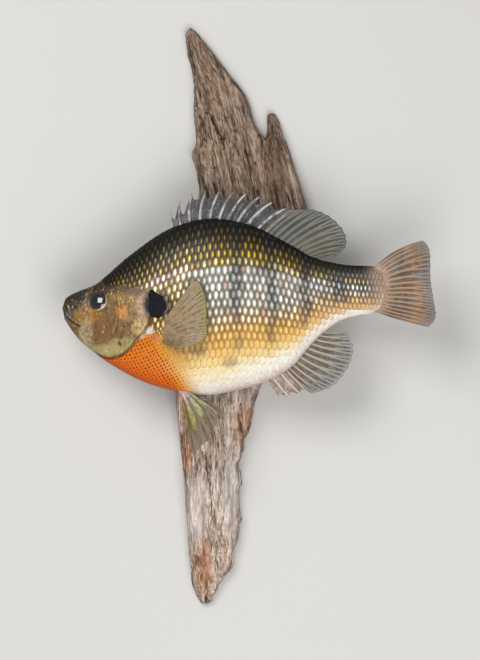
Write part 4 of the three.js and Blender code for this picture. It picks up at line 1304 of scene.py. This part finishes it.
def boxes(*corners):
    """Boxes from their lowest to their highest corners in millimetres."""
    bm = bmesh.new()
    for low, high in corners:
        low, high = Vector(low), Vector(high)
        shape = Matrix.Diagonal((*(high - low), 1))
        bmesh.ops.create_cube(bm, size=MM, matrix=Matrix.Translation((high + low) / 2 * MM) @ shape)
    return bm


def cut(name, mesh, bm):
    """Cuts a bmesh's shape out of a mesh, and gives what is left."""
    made = shown(name, mesh)
    tool = shown("cutter", mesh_of(bm, "cutter"))
    knife = made.modifiers.new("cut", "BOOLEAN")
    knife.object = tool
    knife.solver = "MANIFOLD"
    left = applied(made, name)
    bpy.data.objects.remove(tool)
    return left


def rows_of(mesh, key):
    """The places or the normals of a mesh's vertices, one to a row."""
    values = np.zeros(len(mesh.vertices) * 3)
    mesh.vertices.foreach_get(key, values)
    return values.reshape(-1, 3)


def grain_place(points):
    """Places measured across, through and along the grain, which leans where the wood narrows."""
    x, y, z = points.T
    above = np.maximum(z - GRAIN_LEAN_Z, 0)
    lean = GRAIN_LEAN * above**2 / (above + GRAIN_LEAN_EASE)
    wander = np.array([noise.noise(Vector((a * 0.02, b * 0.02 + 5, c * 0.011))) for a, b, c in points])
    return np.stack([x + lean + GRAIN_WANDER * wander, y, z], -1)


def weathering(points):
    """How far the surface stands out: hard grain above nothing, grooves, cracks and pits below it."""
    height = []
    for x, y, z in grain_place(points):
        hard = noise.noise(Vector((x * 0.2, y * 0.2, z * 0.016)))
        fine = noise.noise(Vector((x * 0.5, y * 0.5 + 9, z * 0.055)))
        rough = noise.noise(Vector((x * 0.75, y * 0.75 + 3, z * 0.16)))
        split = abs(noise.noise(Vector((x * 0.13, y * 0.1 + 31, z * 0.011))))
        open_here = noise.noise(Vector((x * 0.05, 3.3, z * 0.03)))
        pit = noise.noise(Vector((x * 0.4, y * 0.4 + 17, z * 0.12)))
        groove = max(0.0, 1 - split / 0.085) * min(max(open_here * 3 + 0.35, 0.0), 1.0)
        height.append(0.85 * hard + 0.75 * fine + 0.5 * rough - 1.5 * groove - 2.2 * max(0.0, pit - 0.28))
    return np.array(height)


bm = bmesh.new()
for name, wood in (("splinter", SPLINTER), ("prong", PRONG)):
    bm.from_mesh(splinter_mesh(name, wood))
rough = shown("driftwood", mesh_of(bm, "driftwood"))
remesh = rough.modifiers.new("even skin", "REMESH")
remesh.mode = "VOXEL"
remesh.voxel_size = VOXEL * MM
mesh = applied(rough, "driftwood")
points = rows_of(mesh, "co") / MM
points += rows_of(mesh, "normal") * weathering(points)[:, None]
mesh.vertices.foreach_set("co", (points * MM).ravel())

# The back is sawn off along the wall, the seat is sawn flat, and the screw holes are drilled.
mesh = cut("driftwood", mesh, boxes(BACK_WASTE))
mesh = cut("driftwood", mesh, boxes(SEAT_WASTE))
hole = [(0, -60), (BORE, -60), (BORE, COUNTERBORE_Y), (COUNTERBORE, COUNTERBORE_Y), (COUNTERBORE, 5), (0, 5)]
for place in SCREW_PLACES.values():
    mesh = cut("driftwood", mesh, turned(hole, place))

points = rows_of(mesh, "co") / MM
fields = dict(zip(("grain_x", "grain_y", "grain_z"), grain_place(points).T), standing=weathering(points))
for key, values in fields.items():
    mesh.attributes.new(key, "FLOAT", "POINT").data.foreach_set("value", values.astype(np.float32))
for polygon in mesh.polygons:
    polygon.use_smooth = True

# The first patch is painted shade in the deep notch of the prong; the others are warm tints of the wood
# itself.
AGED_TINTS_AND_NOTCH_SHADE = [
    ((35, 104), (7, 36), 0.75, (178, 162, 150)), ((-27, -97), (5, 17), 0.8, (240, 186, 146)),
    ((-15.5, -184), (6, 19), 0.8, (238, 190, 152)), ((12.6, -82), (7, 15), 0.7, (232, 184, 150)),
]
BLEACHED_PATCHES = [((4, -132), (6, 26), 0.4), ((-20.5, -142), (6, 22), 0.34)]
wood_finish, tree, shader = material("weathered driftwood", Roughness=0.82, Specular_IOR_Level=0.35)
across, _, upward = apart(millimetres(tree))
standing = field(tree, "standing")
grain = step("ShaderNodeCombineXYZ", {part.upper(): field(tree, f"grain_{part}") for part in "xyz"})
streaks = cloud(grain, 1.0, 5, 0.65, (0.34, 0.34, 0.035))
fibres = cloud(grain, 1.0, 5, 0.75, (1.1, 1.1, 0.16))
flakes = cloud(grain, 1.0, 4, 0.65, (0.5, 0.5, 0.16))
strands = cloud(grain, 1.0, 3, 0.7, (0.8, 0.8, 0.09))
hollows = cloud(grain, 1.0, 3, 0.7, (0.62, 0.75, 0.075))
warm = cloud(grain, 1.0, 3, 0.5, (0.1, 0.1, 0.008))
tone = fibres * 0.5 + streaks * 0.5 + standing * 0.09
colour = ramp(
    tone, (0.32, (66, 52, 42)), (0.42, (116, 96, 80)), (0.49, (164, 142, 124)), (0.56, (202, 184, 168)),
    (0.64, (236, 224, 212)),
)
colour = tinted(ease(warm, 0.5, 0.68, 0.0, 0.4), colour, (236, 186, 150))
# Painted shade: darker where the surface lies sunk in its grooves, cracks and pits.
colour = blend(ease(standing, -0.25, -1.0, 0.0, 0.8), colour, (46, 35, 30))
colour = blend(ease(hollows, 0.46, 0.36, 0.0, 0.75), colour, (74, 56, 42))
colour = blend(ease(strands, 0.54, 0.66, 0.0, 0.8), colour, (236, 224, 214))
colour = blend(ease(flakes, 0.56, 0.7, 0.0, 0.5), colour, (226, 212, 202))
colour = tinted(ease(upward, 0, 90, 0.0, 0.8), colour, (182, 168, 152))
for centre, radii, strength, tint in AGED_TINTS_AND_NOTCH_SHADE:
    colour = tinted(spot(across, upward, centre, radii) * strength, colour, tint)
for centre, radii, strength in BLEACHED_PATCHES:
    colour = blend(spot(across, upward, centre, radii) * strength, colour, (232, 222, 218))
normal = grained(fibres * 0.8 + streaks * 0.9, 1.0, 1.3)
connect(shader, {"Base Color": colour, "Normal": normal, "Roughness": ease(tone, 0.3, 0.7, 0.9, 0.68)})
piece_of("driftwood", mesh, wood_finish, "driftwood", "driftwood_panel")

# ---------------------------------------------------------------- the screws
# Two zinc-plated cross-slot screws, driven from behind through the wood into the carved form.

HEAD_Y, TIP_Y = -1, -37
SHANK_RADIUS, HEAD_RADIUS = 1.8, 4.4
THREAD_TURN, THREAD_PITCH = [(1.55, 0), (1.55, 0.6), (2.0, 0.95), (2.0, 1.05)], 1.4

steel, tree, shader = material("zinc-plated steel", Metallic=1.0, Roughness=0.35)
dull = cloud(millimetres(tree), 0.9, 4)
colour = blend(dull, (150, 148, 140), (206, 204, 198))
connect(shader, {"Base Color": colour, "Roughness": ease(dull, 0.3, 0.7, 0.28, 0.5)})
turns = np.arange(TIP_Y + 4, SCREW_SEAT_Y - 9, THREAD_PITCH)
thread = [(radius, start + y) for start in turns for radius, y in THREAD_TURN]
profile = [(0, TIP_Y), *thread, (SHANK_RADIUS, SCREW_SEAT_Y - 8), (SHANK_RADIUS, SCREW_SEAT_Y),
           (HEAD_RADIUS, SCREW_SEAT_Y), (HEAD_RADIUS, HEAD_Y - 1.2), (HEAD_RADIUS - 0.5, HEAD_Y - 0.4),
           (HEAD_RADIUS - 1.6, HEAD_Y), (0, HEAD_Y)]
for name, (x, z) in SCREW_PLACES.items():
    slots = [((x - a, HEAD_Y - 1.5, z - b), (x + a, 1, z + b)) for a, b in ((0.5, 2.5), (2.5, 0.5))]
    mesh = cut(name, mesh_of(turned(profile, (x, z), 32), name), boxes(*slots))
    piece_of(f"{name}_steel", mesh, steel, "screw_steel", name)

# ---------------------------------------------------------------- done
bpy.context.view_layer.update()
